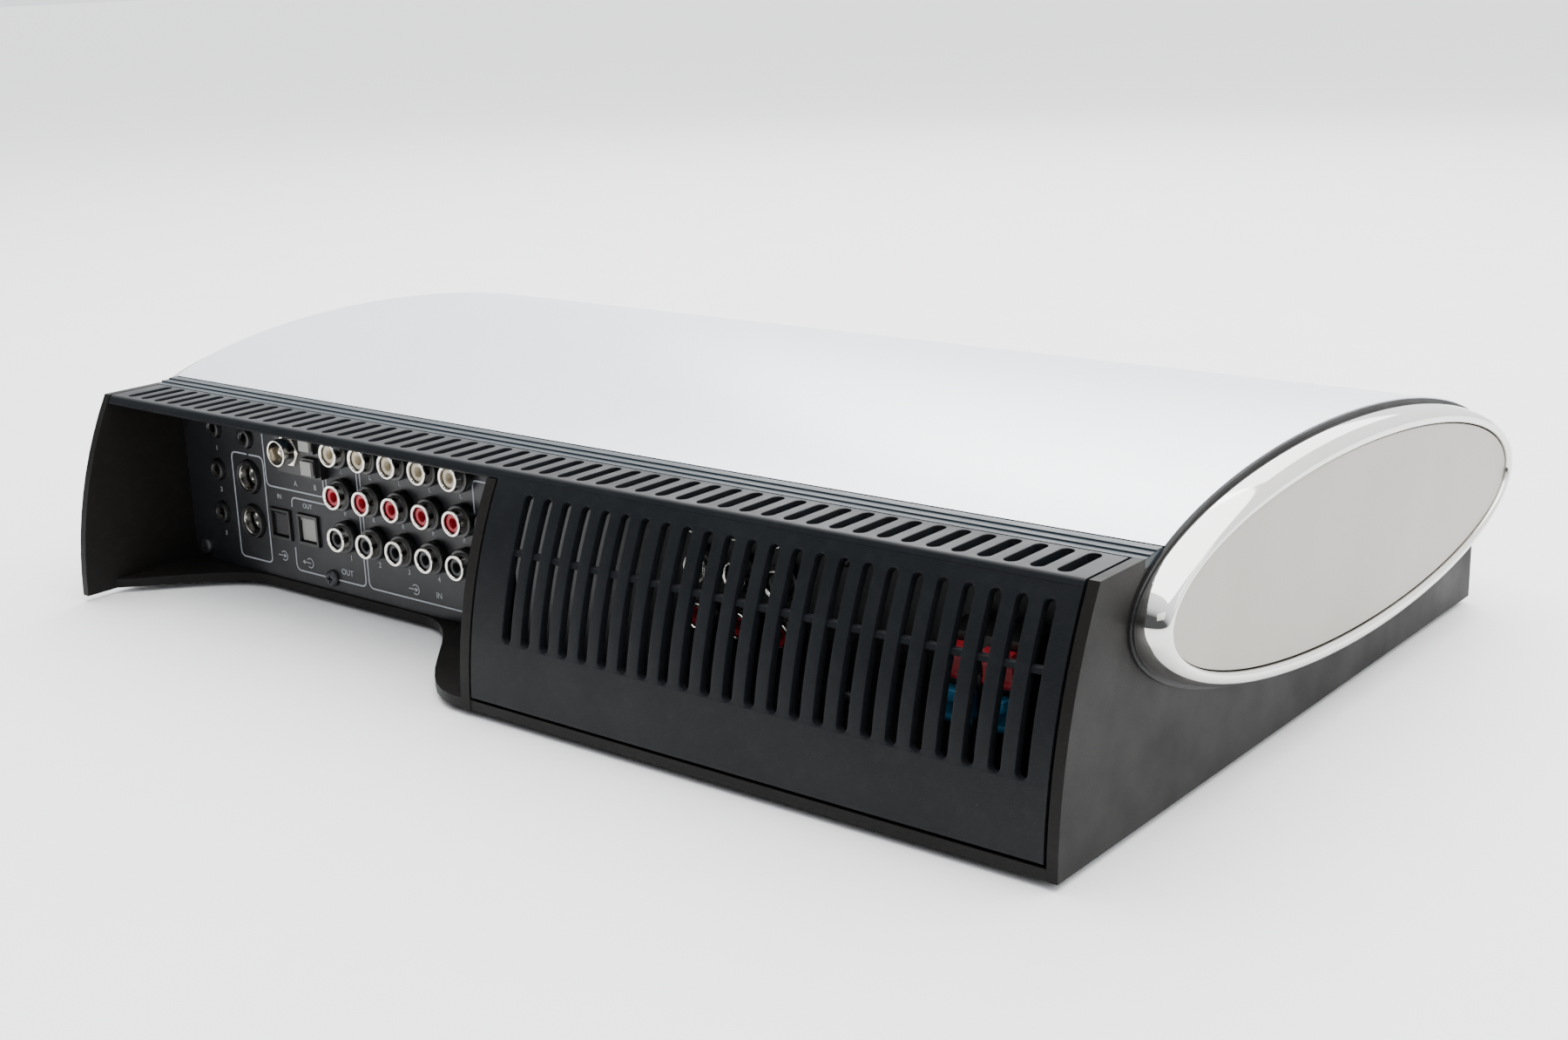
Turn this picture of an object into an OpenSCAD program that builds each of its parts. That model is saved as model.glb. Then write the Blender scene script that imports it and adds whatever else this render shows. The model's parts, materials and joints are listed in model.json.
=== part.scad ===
// Wide, low stereo receiver: an oval silver body lying on a dark base,
// with a recessed connector bay and a slotted lift-off cover at the back.
// +Z is up, the front faces -Y, and the origin is under the middle.

/* [Base] */
// Width of the base over its side walls
base_w = 381; // [378:1:386]
// How far behind the origin the foot of the back stands
back_y = 128; // [127.5:0.5:128.5]
// How far in front of the origin the base's front wall stands
front_y = 117; // [116:0.5:117.5]
// Height of the rubber feet
foot_h = 2; // [1.5:0.5:2.5]
// Height of the ledge behind the silver shell
ledge_z = 68; // [67.5:0.5:68.5]
// Thickness of the base's floor and walls
wall_t = 3; // [2.5:0.5:3]
// Radius of the bulged back, seen from the side
back_r = 140; // [136:1:146]

/* [Oval body] */
// Half of the oval's depth
oval_a = 113.4; // [113:0.2:113.8]
// Half of the oval's height
oval_b = 32.5; // [32.4:0.1:32.8]
// Centre of the oval along Y
oval_y = -14.9; // [-15.2:0.1:-14.6]
// Centre of the oval above the table
oval_z = 48.3; // [48:0.1:48.6]
// Lean of the oval, with its rear end higher
tilt = 2.3; // [2:0.1:2.6]
// Thickness of the silver shell
shell_t = 1.4; // [1:0.1:1.5]
// Thickness of the dark frame behind each end ring
frame_t = 0.6; // [0.5:0.1:1]
// Thickness of the polished end ring
ring_t = 8; // [7:0.5:9]
// How far the end ring stays inside the shell's outline
ring_in = 1.6; // [1:0.1:1.8]
// How far the end cap stays inside the shell's outline
ring_w = 7; // [6.4:0.2:8.4]

/* [Rear cover] */
// Distance between neighbouring slots on the ledge
ledge_pitch = 7.17; // [7:0.01:7.2]
// Number of slots on the ledge
ledge_slots = 51; // [41:2:51]
// Distance between neighbouring slots in the back face
back_pitch = 7.17; // [7:0.01:7.2]
// Number of slots in the back face
back_slots = 24; // [12:1:24]
// Thickness of the cover
cover_t = 2.5; // [2:0.1:2.5]

/* [Connectors] */
// Distance between neighbouring phono sockets
phono_pitch = 14.1; // [14:0.1:14.2]
// Height of the lowest phono sockets
phono_z = 25.5; // [25:0.1:26]
// Diameter of a phono socket's metal sleeve
phono_d = 8.3; // [8:0.1:8.4]

/* [Disc drive] */
// Width of the disc tray
tray_w = 128; // [126:1:130]
// Length of the disc tray
tray_l = 160; // [158:1:162]
// Diameter of the recess for a disc
disc_d = 121; // [120.5:0.5:122]

/* [Buttons] */
// Distance between neighbouring front buttons
button_pitch = 14; // [13:0.5:14]
// Width of a front button
button_w = 10; // [8:0.5:11]
// Height of a front button
button_h = 5; // [4:0.5:6]

/* [Hidden] */
$fn = 48;
STATIC = ["base_housing", "trim_rail", "top_shell", "left_end_frame", "right_end_frame",
    "left_end_ring", "right_end_ring", "left_end_cap", "right_end_cap", "front_fascia",
    "display_window", "display_board", "key_board", "main_board", "transformer_core",
    "transformer_coil", "filter_capacitors", "heat_sink", "tuner_box", "drive_frame",
    "guide_rods", "connector_panel", "video_phono_block", "phono_inserts_white",
    "phono_inserts_red", "phono_inserts_black", "antenna_block", "optical_input",
    "optical_output", "mini_jacks", "speaker_terminals", "mains_inlet", "headphone_jack",
    "rubber_feet", "case_screws"];
PHONOS = ["phono_stack_1", "phono_stack_2", "phono_stack_3", "phono_stack_4",
    "phono_stack_5"];
DINS = ["din_socket_1", "din_socket_2", "din_socket_3"];
BUTTONS = ["standby_button", "source_button", "play_button", "open_button",
    "volume_down_button", "volume_up_button"];
LEVERS = ["speaker_lever_1", "speaker_lever_2", "speaker_lever_3", "speaker_lever_4"];
MOVING = ["rear_cover", "disc_tray", "tray_bezel", "turntable", "laser_sled",
    "input_shutter", "output_shutter"];

charcoal = [0.16, 0.17, 0.18];
silver = [0.8, 0.82, 0.84];
half_w = base_w / 2;          // outer face of a side wall
in_w = half_w - wall_t;       // inner face of a side wall
floor_z = foot_h + wall_t;    // top of the floor
gap = 0.3;                    // air between neighbouring pieces
arc_y = back_y - back_r;      // centre of the bulged back
lean_z = oval_a * sin(tilt);
nose_y = oval_y - oval_a;     // foremost point of the oval
nose_z = oval_z - lean_z;     // its height, and that of the front controls
back_angle = asin((ledge_z + 0.9 - oval_z) / norm([lean_z, oval_b * cos(tilt)]))
    - atan2(lean_z, oval_b * cos(tilt));
front_angle = 158.4;          // where the shell ends at the front
fascia_angles = [159.2, 211.5];
fascia_t = 2.2;
rail_y = 82.1;                // front of the rail along the shell's edge
rail_w = 8.6;
rail_z = ledge_z - 2.4;       // underside of that rail
wall_top = 25.5;              // top of the base's front wall
cover_w = in_w - 0.8;         // half width of the rear cover
cover_x = -1;                 // where its back face ends beside the bay
rib_x = [-0.2, 3.5];          // post between the bay and the cover
cover_z = floor_z + 0.8;      // lower edge of its back face
slot_w = 3.6;
slot_y = [92.2, 108.2];          // ends of a ledge slot
back_slot_w = 3.2;
back_slot_z = [24, 62.9];        // ends of a back slot
back_slot_x = -179.5;          // slot next to the end wall
bar_z = 47.6;                 // bar across the back slots
panel_t = 1.2;
panel_y = 83.5;                // outer face of the connector panel
panel_z = [floor_z, rail_z - 0.1];
board_z = floor_z + 4;
board_t = 1.6;
board_top = board_z + board_t;
phono_x = [for (i = [0:4]) 102.6 - i * phono_pitch];
video_x = [for (i = [0:2]) -52 - i * phono_pitch];
video_z = phono_z + 2.5;      // height of the lowest video sockets
din_places = [[152.5, 38.5], [152.5, 23], [35.2, 38.5]];
mini_places = [[169.5, 53.5], [169.5, 38.9], [169.5, 23.7], [152.5, 52]];
antenna_place = [126.5, 51.5];
optical_places = [[137.5, 24.3], [123, 24.3]];
optical_w = 8.6;              // opening of an optical socket
terminal_place = [-150.7, 32];
lever_w = 8.4;
lever_h = 8;
lever_y = panel_y + 15;                // hinge line of the speaker levers
inlet_place = [-173.2, 19];
window_h = 12.6;              // height of the openings in the fascia
window_x = [-178, -84];
bezel_x = 68;                 // half width of the tray's opening
button_x = 92;
board_y = nose_y + 12.5;      // face of the two boards behind the fascia
tray_z = nose_z - 2.7;
tray_t = 5.5;
tray_front = nose_y + 4.6;
spindle_y = tray_front + 5 + disc_d / 2;
drive_w = 74;
drive_y = [nose_y + 22.5, nose_y + 176.5];
drive_z = [30, 57];
rod_x = 22;
rod_z = 35;
post_y = [nose_y + 34.5, nose_y + 164.5];
jack_place = [150, 15];
screw_d = 2.8;
board_posts = [[-172, 34], [-96, 66], [-172, -22], [96, -22], [172, -22], [180, 34]];
drive_posts = [for (x = [-80, 80], y = post_y) [x, y]];
panel_screws = [[181, 9.5], [112.8, 9.5], [24, 52], [-100, 52], [-100, 12], [-182, 55]];
foot_places = [[-165, -98], [165, -98], [-165, 100], [165, 78]];

// Point on the leaning oval at an angle, pulled inwards by d, and by e more along its length
function oval_at(t, d, e = 0) =
    let (u = (oval_a - d - e) * cos(t), v = (oval_b - d) * sin(t))
    [oval_y + u * cos(tilt) - v * sin(tilt), oval_z + u * sin(tilt) + v * cos(tilt)];
// Points along the oval between two angles
function oval_arc(t0, t1, d, n = 40) = [for (i = [0:n]) oval_at(t0 + (t1 - t0) * i / n, d)];
// Outline of a strip that follows the oval
function oval_band(t0, t1, d0, d1) = concat(oval_arc(t0, t1, d0), oval_arc(t1, t0, d1));
// Eased step from 0 to 1
function ease(u) = (1 - cos(180 * max(0, min(1, u)))) / 2;
// Edge of the floor where it is cut away under the bay
function bay_edge(x) =
    back_y - 43.5 * min(ease((x - 6) / 62), ease((half_w + 18 - x) / 63));

module along_x(x0, x1) {
    translate([x0, 0, 0]) rotate([90, 0, 90]) linear_extrude(x1 - x0) children();
}

module along_y(y0, y1) {
    translate([0, y1, 0]) rotate([90, 0, 0]) linear_extrude(y1 - y0) children();
}

module oval(d) {
    polygon([for (i = [0:95]) oval_at(i * 3.75, d)]);
}

module block(x, y, z) {
    translate([x[0], y[0], z[0]]) cube([x[1] - x[0], y[1] - y[0], z[1] - z[0]]);
}

module rod_y(x, z, d, y0, y1) {
    translate([x, y1, z]) rotate([90, 0, 0]) cylinder(d = d, h = y1 - y0);
}

module post(place, d, z0, z1) {
    translate([place[0], place[1], z0]) cylinder(d = d, h = z1 - z0);
}

// Area inside the bulged back, between two heights and behind a line
module back_slice(r, y0, z0, z1) {
    intersection() {
        translate([arc_y, 0]) circle(r, $fn = 180);
        translate([y0, z0]) square([back_y - y0 + 1, z1 - z0]);
    }
}

// Slot with round ends: 2D, standing on its lower end
module slot_shape(w, length) {
    translate([-w / 2, w / 2]) square([w, length - w]);
    translate([0, w / 2]) circle(d = w);
    translate([0, length - w / 2]) circle(d = w);
}

// ---- Base ----

module side_wall_shape() {
    difference() {
        union() {
            back_slice(back_r, arc_y, foot_h, ledge_z);
            translate([-front_y, foot_h]) square([20, wall_top - foot_h]);
            translate([nose_y + 20, foot_h]) square([arc_y - nose_y - 19, 40 - foot_h]);
            polygon([for (i = [0:95]) oval_at(i * 3.75, 1.7, 1.8)]);
        }
        translate([rail_y - 0.1, rail_z]) square([rail_w + 0.2, 6]);
    }
}

module floor_shape() {
    polygon(concat(
        [[-half_w, -front_y], [half_w, -front_y]],
        [for (i = [0:36]) let (x = half_w - (half_w - 8) * i / 36) [x, bay_edge(x) - 0.2]],
        [[-half_w, back_y - 0.2]]));
}

module base_housing() {
    color(charcoal) difference() {
        union() {
            along_x(-half_w, -in_w) side_wall_shape();
            along_x(in_w, half_w) side_wall_shape();
            translate([0, 0, foot_h]) linear_extrude(wall_t) floor_shape();
            block([-in_w, in_w], [-front_y, -front_y + wall_t], [foot_h, wall_top]);
            along_x(rib_x[0], rib_x[1]) back_slice(back_r, 107, foot_h, ledge_z - cover_t - 0.4);
            for (p = board_posts) post(p, 7, foot_h, board_z);
            for (p = drive_posts) post(p, 8, foot_h, drive_z[0]);
        }
        for (p = board_posts) post(p, 3, floor_z, board_z + 1);
        for (p = drive_posts) post(p, 3, floor_z + 10, drive_z[0] + 1);
        rod_y(jack_place[0], jack_place[1], 8, -front_y - 1, -front_y + wall_t + 1);
    }
}

module rubber_feet() {
    color("black") for (p = foot_places) post(p, 16, 0, foot_h);
}

// ---- Oval body ----

module trim_rail() {
    top = ledge_z + 0.8;
    color([0.3, 0.34, 0.38]) along_x(-half_w, half_w)
        polygon([[rail_y, rail_z], [rail_y + rail_w, rail_z], [rail_y + rail_w, top - 0.8],
            [rail_y + 6, top - 0.8], [rail_y + 6, top - 0.4], [rail_y + 3, top - 0.4],
            [rail_y + 3, top], [rail_y, top]]);
}

module top_shell() {
    color(silver) along_x(-half_w, half_w)
        polygon(oval_band(back_angle, front_angle, 0, shell_t));
}

// The end pieces are drawn for the right end and mirrored for the left
module end_frame() {
    color([0.25, 0.26, 0.27]) {
        along_x(half_w, half_w + frame_t) oval(0.4);
        along_x(half_w + frame_t, half_w + frame_t + 3.7) oval(ring_w + 2);
    }
}

module end_ring() {
    round_r = 7;
    steps = 5;
    flat_t = ring_t - round_r;
    step_t = round_r / steps;
    x0 = half_w + frame_t;
    color("gainsboro") difference() {
        union() {
            along_x(x0, x0 + flat_t) oval(ring_in);
            for (i = [1:steps])
                along_x(x0 + flat_t, x0 + flat_t + i * step_t)
                    oval(ring_in + round_r - sqrt(pow(round_r, 2) - pow((i - 0.5) * step_t, 2)));
        }
        along_x(x0 - 1, x0 + ring_t + 1) oval(ring_w);
    }
}

module end_cap() {
    color("silver") along_x(half_w + frame_t + 3.7, half_w + frame_t + ring_t - 1.3)
        oval(ring_w + 0.3);
}

module fascia_area(d0, d1) {
    polygon(oval_band(fascia_angles[0], fascia_angles[1], d0, d1));
}

module nose_piece(x0, x1, h) {
    intersection() {
        along_x(x0, x1) fascia_area(0, fascia_t);
        block([x0, x1], [nose_y - 9, nose_y + 20], [nose_z - h / 2, nose_z + h / 2]);
    }
}

module pill(w, h) {
    square([w - h, h], center = true);
    translate([-(w - h) / 2, 0]) circle(d = h);
    translate([(w - h) / 2, 0]) circle(d = h);
}

module front_fascia() {
    color([0.08, 0.08, 0.09]) difference() {
        union() {
            along_x(-half_w, half_w) fascia_area(0, fascia_t);
            for (x = [-181, -81, 83, 179]) difference() {
                rod_y(x, nose_z, 5, nose_y + 1.2, board_y);
                along_x(x - 3, x + 3) difference() {
                    translate([nose_y - 9, 20]) square([30, 50]);
                    oval(1);
                }
            }
        }
        block(window_x, [nose_y - 9, nose_y + 16], [nose_z - window_h / 2, nose_z + window_h / 2]);
        block([-bezel_x, bezel_x], [nose_y - 9, nose_y + 20],
            [nose_z - window_h / 2, nose_z + window_h / 2]);
        for (i = [0:len(BUTTONS) - 1]) translate([button_x + i * button_pitch, 0, nose_z])
            along_y(nose_y - 9, nose_y + 10) pill(button_w + 0.6, button_h + 0.6);
    }
}

module display_window() {
    color([0.12, 0.13, 0.16]) nose_piece(window_x[0] + 0.2, window_x[1] - 0.2, window_h - 0.4);
}

module display_board() {
    color("darkgreen") block([-184, -78], [board_y, board_y + board_t], [nose_z - 11, nose_z + 11]);
    color("dimgray") block([-172, -90], [board_y - 6, board_y], [nose_z - 5, nose_z + 5]);
}

module key_board() {
    last = len(BUTTONS) - 1;
    color("darkgreen") block([80, 182], [board_y, board_y + board_t], [nose_z - 11, nose_z + 11]);
    color("black") for (i = [0:last]) translate([button_x + i * button_pitch, 0, 0])
        block([-3, 3], [board_y - 2.4, board_y], [nose_z - 3, nose_z + 3]);
}

module button(i) {
    color([0.2, 0.2, 0.22]) translate([button_x + i * button_pitch, 0, nose_z]) {
        along_y(nose_y - 0.2, nose_y + 6.5) pill(button_w, button_h);
        along_y(nose_y + 6.5, nose_y + 7.6) pill(button_w + 2.4, button_h + 2.4);
        along_y(nose_y + 7.6, board_y - 3.5) circle(d = 3);
    }
}

// ---- Rear cover ----

module rear_cover() {
    y0 = rail_y + rail_w + 0.2;
    z0 = ledge_z - cover_t;
    color(charcoal) {
        difference() {
            union() {
                along_x(-cover_w, cover_w) back_slice(back_r, y0, z0, ledge_z);
                along_x(-cover_w, cover_x) difference() {
                    back_slice(back_r, 95, cover_z, ledge_z);
                    back_slice(back_r - cover_t, 90, cover_z - 1, z0);
                }
            }
            for (i = [0:ledge_slots - 1])
                translate([(i - (ledge_slots - 1) / 2) * ledge_pitch, slot_y[0], z0 - 1])
                    linear_extrude(cover_t + 2) slot_shape(slot_w, slot_y[1] - slot_y[0]);
            for (i = [0:back_slots - 1])
                translate([back_slot_x + i * back_pitch, 0, back_slot_z[0]])
                    along_y(95, back_y + 1)
                        slot_shape(back_slot_w, back_slot_z[1] - back_slot_z[0]);
        }
        along_x(back_slot_x - 3, cover_x - 5) difference() {
            back_slice(back_r - 0.8, 95, bar_z - 0.8, bar_z + 0.8);
            back_slice(back_r - cover_t, 90, bar_z - 2, bar_z + 2);
        }
    }
}

// ---- Boards and supply ----

module main_board() {
    color("darkgreen") difference() {
        block([-183, 183], [-30, panel_y - panel_t - 2], [board_z, board_top]);
        for (p = board_posts) post(p, 3.2, board_z - 1, board_top + 1);
        for (p = drive_posts) post(p, 10, board_z - 1, board_top + 1);
    }
}

module transformer_core() {
    color("dimgray") difference() {
        block([-178, -118], [-86, -40], [floor_z, 55]);
        for (z = [14, 37]) block([-179, -117], [-80, -68], [z, z + 9]);
        for (z = [14, 37]) block([-179, -117], [-58, -46], [z, z + 9]);
        block([-179, -117], [-80, -68], [14, 46]);
        block([-179, -117], [-58, -46], [14, 46]);
    }
}

module transformer_coil() {
    color("goldenrod") difference() {
        block([-182.5, -113.5], [-79.5, -46.5], [14.3, 45.7]);
        block([-178.3, -117.7], [-68.2, -57.8], [14, 46]);
        block([-178.3, -117.7], [-90, -79.6], [10, 50]);
    }
}

module filter_capacitors() {
    for (y = [-12, 14, 40]) color("navy") post([-97, y], 22, board_top, 46);
}

module heat_sink() {
    color("silver") {
        block([-165, -118], [-18, 30], [board_top, board_top + 4]);
        for (i = [0:8]) translate([-165 + i * 5.6, 0, 0])
            block([0, 2.2], [-18, 30], [board_top + 4, 42]);
    }
}

module tuner_box() {
    color("lightgray") difference() {
        block([112, 142], [44, panel_y - panel_t], [40, 62]);
        block([113, 141], [45, panel_y - panel_t - 1], [41, 63]);
    }
}

// ---- Disc drive ----

module drive_frame() {
    x = drive_w;
    color("dimgray") difference() {
        union() {
            block([-x, x], drive_y, drive_z);
            for (p = drive_posts) post(p, 10, drive_z[0], drive_z[0] + 1.6);
            for (y = post_y)
                block([-x - 6, x + 6], [y - 5, y + 5], [drive_z[0], drive_z[0] + 1.6]);
        }
        block([-x + 7, x - 7], [drive_y[0] - 1, drive_y[1] - 2],
            [drive_z[0] + 1.6, drive_z[1] - 1.6]);
        block([-x + 2, x - 2], [drive_y[0] - 1, drive_y[1] - 2],
            [tray_z - gap, tray_z + tray_t + gap]);
        block([-30, 30], [spindle_y - 30, spindle_y + 75], [drive_z[0] - 1, drive_z[0] + 2]);
        for (p = drive_posts) post(p, 3.2, drive_z[0] - 1, drive_z[0] + 3);
        post([0, -20], 60, drive_z[1] - 2, drive_z[1] + 1);
    }
    color("dimgray") for (s = [-1, 1], y = [spindle_y - 34, spindle_y + 75])
        block([s * rod_x - 4, s * rod_x + 4], [y, y + 4], [drive_z[0], rod_z + 3]);
    color("dimgray") block([-8, 8], [spindle_y - 31, spindle_y - 10], [drive_z[0], drive_z[0] + 1.6]);
    color("dimgray") difference() {
        post([0, spindle_y], 24, drive_z[0], drive_z[0] + 4);
        post([0, spindle_y], 4.1, drive_z[0] - 1, drive_z[0] + 5);
    }
}

module guide_rods() {
    color("silver") for (s = [-1, 1])
        rod_y(s * rod_x, rod_z, 3, spindle_y - 30, spindle_y + 75);
}

module turntable() {
    color("black") {
        post([0, spindle_y], 4, drive_z[0] + 0.2, drive_z[0] + 5);
        post([0, spindle_y], 26, drive_z[0] + 4.4, drive_z[0] + 7.6);
        post([0, spindle_y], 14, drive_z[0] + 7.6, drive_z[0] + 10);
    }
}

module laser_sled() {
    y0 = spindle_y + 18;
    color([0.2, 0.2, 0.22]) difference() {
        union() {
            block([-28, 28], [y0, y0 + 20], [drive_z[0] + 3, drive_z[0] + 7.5]);
            post([0, y0 + 7], 9, drive_z[0] + 5, drive_z[0] + 9.5);
        }
        for (s = [-1, 1]) rod_y(s * rod_x, rod_z, 3.1, y0 - 1, y0 + 21);
    }
}

module disc_tray() {
    w = tray_w / 2;
    color([0.13, 0.13, 0.14]) difference() {
        block([-w, w], [tray_front, tray_front + tray_l], [tray_z, tray_z + tray_t]);
        post([0, spindle_y], disc_d, tray_z + 2, tray_z + tray_t + 1);
        post([0, spindle_y], 82, tray_z + 1.2, tray_z + tray_t + 1);
        post([0, spindle_y], 34, tray_z - 1, tray_z + 3);
        block([-17, 17], [spindle_y, spindle_y + 46], [tray_z - 1, tray_z + 3]);
    }
}

module tray_bezel() {
    color([0.08, 0.08, 0.09]) {
        nose_piece(-bezel_x + 0.4, bezel_x - 0.4, window_h - 0.8);
        intersection() {
            block([-60, 60], [nose_y - 9, tray_front], [nose_z - 5, nose_z + 5]);
            along_x(-60, 60) oval(1);
        }
    }
}

// ---- Connector bay ----

module panel_hole(place, d) {
    rod_y(place[0], place[1], d, panel_y - panel_t - 1, panel_y + 1);
}

module connector_panel() {
    y = [panel_y - panel_t - 1, panel_y + 1];
    color([0.1, 0.1, 0.11]) difference() {
        block([-in_w, in_w], [panel_y - panel_t, panel_y], panel_z);
        for (x = phono_x, k = [0:2]) panel_hole([x, phono_z + k * phono_pitch], 8.8);
        for (x = video_x, k = [0:2]) panel_hole([x, video_z + k * phono_pitch], 8.8);
        for (p = din_places) panel_hole(p, 12);
        for (p = mini_places) panel_hole(p, 7.6);
        panel_hole(antenna_place, 10);
        for (p = optical_places)
            block([p[0] - 5.4, p[0] + 5.4], y, [p[1] - 5.4, p[1] + 5.4]);
        for (p = panel_screws) panel_hole(p, 3.2);
    }
}

// Row of three phono sockets: a moulded housing with metal sleeves
module phono_column(x, z) {
    color([0.1, 0.1, 0.1]) block([x - 6.6, x + 6.6], [68, panel_y - panel_t],
        [board_top, z + 2 * phono_pitch + 7]);
    color("silver") for (k = [0:2]) translate([0, 0, z + k * phono_pitch]) difference() {
        union() {
            rod_y(x, 0, phono_d, panel_y - panel_t, panel_y + 6);
            rod_y(x, 0, 10.6, panel_y, panel_y + 3);
        }
        rod_y(x, 0, phono_d - 1.3, panel_y - 0.2, panel_y + 7);
    }
}

module phono_stack(i) {
    phono_column(phono_x[i], phono_z);
}

module video_phono_block() {
    for (x = video_x) phono_column(x, video_z);
    color([0.1, 0.1, 0.1]) block([min(video_x), max(video_x)], [68, panel_y - panel_t - 0.5],
        [board_top, video_z + 2 * phono_pitch + 7]);
}

// Coloured insulators of one row of phono sockets
module phono_inserts(columns, z) {
    for (x = columns) difference() {
        rod_y(x, z, phono_d - 1.5, panel_y - 0.2, panel_y + 5.1);
        rod_y(x, z, 3.3, panel_y + 0.8, panel_y + 6);
    }
}

module phono_inserts_white() {
    color("ivory") phono_inserts(phono_x, phono_z + 2 * phono_pitch);
}

module phono_inserts_red() {
    color("firebrick") {
        phono_inserts(phono_x, phono_z + phono_pitch);
        phono_inserts(video_x, video_z);
    }
}

module phono_inserts_black() {
    color("black") {
        phono_inserts(phono_x, phono_z);
        phono_inserts(video_x, video_z + phono_pitch);
        phono_inserts(video_x, video_z + 2 * phono_pitch);
    }
}

module din_socket(i) {
    p = din_places[i];
    color([0.1, 0.1, 0.1]) {
        difference() {
            rod_y(p[0], p[1], 11.4, panel_y - panel_t, panel_y + 1.6);
            rod_y(p[0], p[1], 9.6, panel_y - 0.2, panel_y + 2);
        }
        block([p[0] - 6.8, p[0] + 4], [70, panel_y - panel_t], [p[1] - 6.4, p[1] + 6.4]);
        rod_y(p[0], p[1], 5.4, panel_y - 0.2, panel_y + 1);
    }
}

module mini_jacks() {
    color([0.1, 0.1, 0.1]) for (p = mini_places) difference() {
        union() {
            rod_y(p[0], p[1], 7, panel_y - panel_t, panel_y + 1.6);
            block([p[0] - 5, p[0] + 5], [70, panel_y - panel_t], [p[1] - 5.5, p[1] + 5.5]);
        }
        rod_y(p[0], p[1], 3.6, 72, panel_y + 2);
    }
}

module antenna_block() {
    p = antenna_place;
    color([0.1, 0.1, 0.1]) difference() {
        union() {
            block([p[0] - 7.5, p[0] + 7.5], [panel_y, panel_y + 2.5], [p[1] - 8, p[1] + 8]);
            block([p[0] - 16.2, p[0] - 7.5], [panel_y, panel_y + 5], [p[1] - 8, p[1] + 8]);
        }
        rod_y(p[0], p[1], 9, panel_y - 1, panel_y + 3);
        for (z = [-4, 4]) block([p[0] - 14.6, p[0] - 9.1], [panel_y + 2, panel_y + 6],
            [p[1] + z - 2.6, p[1] + z + 2.6]);
    }
    color("silver") {
        difference() {
            rod_y(p[0], p[1], 9, panel_y - panel_t, panel_y + 8);
            rod_y(p[0], p[1], 7.4, panel_y, panel_y + 9);
        }
        rod_y(p[0], p[1], 2.3, panel_y - 0.5, panel_y + 6);
    }
}

// Housing of an optical socket, with a square way in behind its flap
module optical_socket(i) {
    p = optical_places[i];
    w = optical_w / 2;
    color([0.1, 0.1, 0.1]) difference() {
        union() {
            block([p[0] - 5.2, p[0] + 5.2], [68, panel_y + 1], [p[1] - 5.2, p[1] + 5.2]);
            block([p[0] - 6.6, p[0] + 6.6], [68, panel_y - panel_t], [p[1] - 6.6, p[1] + 6.6]);
        }
        block([p[0] - w, p[0] + w], [70, panel_y + 2], [p[1] - w, p[1] + w]);
        rod_x(p[0] - 5, p[0] + 5, panel_y - 0.6, p[1] + w - 0.9, 1.3);
    }
}

module rod_x(x0, x1, y, z, d) {
    translate([x0, y, z]) rotate([0, 90, 0]) cylinder(d = d, h = x1 - x0);
}

// Sprung dust flap that a plug pushes inwards
module optical_shutter(i) {
    p = optical_places[i];
    w = optical_w / 2;
    y = panel_y - 0.6;
    z = p[1] + w - 0.9;
    color("lightgray") {
        block([p[0] - w + gap, p[0] + w - gap], [y - 0.4, y + 0.4], [p[1] - w + 0.4, z]);
        rod_x(p[0] - w + gap, p[0] + w - gap, y, z, 1.2);
        rod_x(p[0] - w - 0.5, p[0] + w + 0.5, y, z, 1.2);
    }
}

module speaker_terminals() {
    p = terminal_place;
    color([0.1, 0.1, 0.1]) difference() {
        union() {
            block([p[0] - 11.8, p[0] + 11.8], [panel_y, lever_y - 1.8], [p[1] - 12, p[1] + 12]);
            for (i = [0:3], s = [-1, 1]) translate([lever_x(i) + s * (lever_w / 2 + 0.8), 0, 0])
                block([-0.5, 0.5], [lever_y - 2, lever_y + 1.4],
                    [lever_z(i) - 1.4, lever_z(i) + 1.4]);
        }
        for (i = [0:3]) {
            rod_x(lever_x(i) - 7, lever_x(i) + 7, lever_y, lever_z(i), 1.6);
            rod_y(lever_x(i), lever_z(i) + 4.4, 3.4, panel_y + 4, lever_y);
        }
    }
}

function lever_x(i) = terminal_place[0] + (i % 2 == 0 ? -5.7 : 5.7);
function lever_z(i) = terminal_place[1] + (i < 2 ? -10 : 1.6);

module speaker_lever(i) {
    x = lever_x(i);
    z = lever_z(i);
    color(i < 2 ? "steelblue" : "firebrick") {
        rod_x(x - lever_w / 2, x + lever_w / 2, lever_y, z, 2.8);
        rod_x(x - lever_w / 2 - 1.3, x + lever_w / 2 + 1.3, lever_y, z, 1.5);
        block([x - lever_w / 2, x + lever_w / 2], [lever_y - 1.4, lever_y + 1], [z, z + lever_h]);
        block([x - 3, x + 3], [lever_y + 1, lever_y + 3], [z + lever_h - 3, z + lever_h]);
    }
}

module mains_inlet() {
    p = inlet_place;
    color([0.1, 0.1, 0.1]) {
        difference() {
            block([p[0] - 10.5, p[0] + 10.5], [panel_y, panel_y + 11], [p[1] - 7.5, p[1] + 7.5]);
            for (s = [-1, 1]) rod_y(p[0] + s * 3.9, p[1], 9.2, panel_y + 2, panel_y + 12);
            block([p[0] - 3.9, p[0] + 3.9], [panel_y + 2, panel_y + 12], [p[1] - 4, p[1] + 4]);
        }
        for (s = [-1, 1]) rod_y(p[0] + s * 4.3, p[1], 2.4, panel_y + 1.5, panel_y + 9);
    }
}

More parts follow.
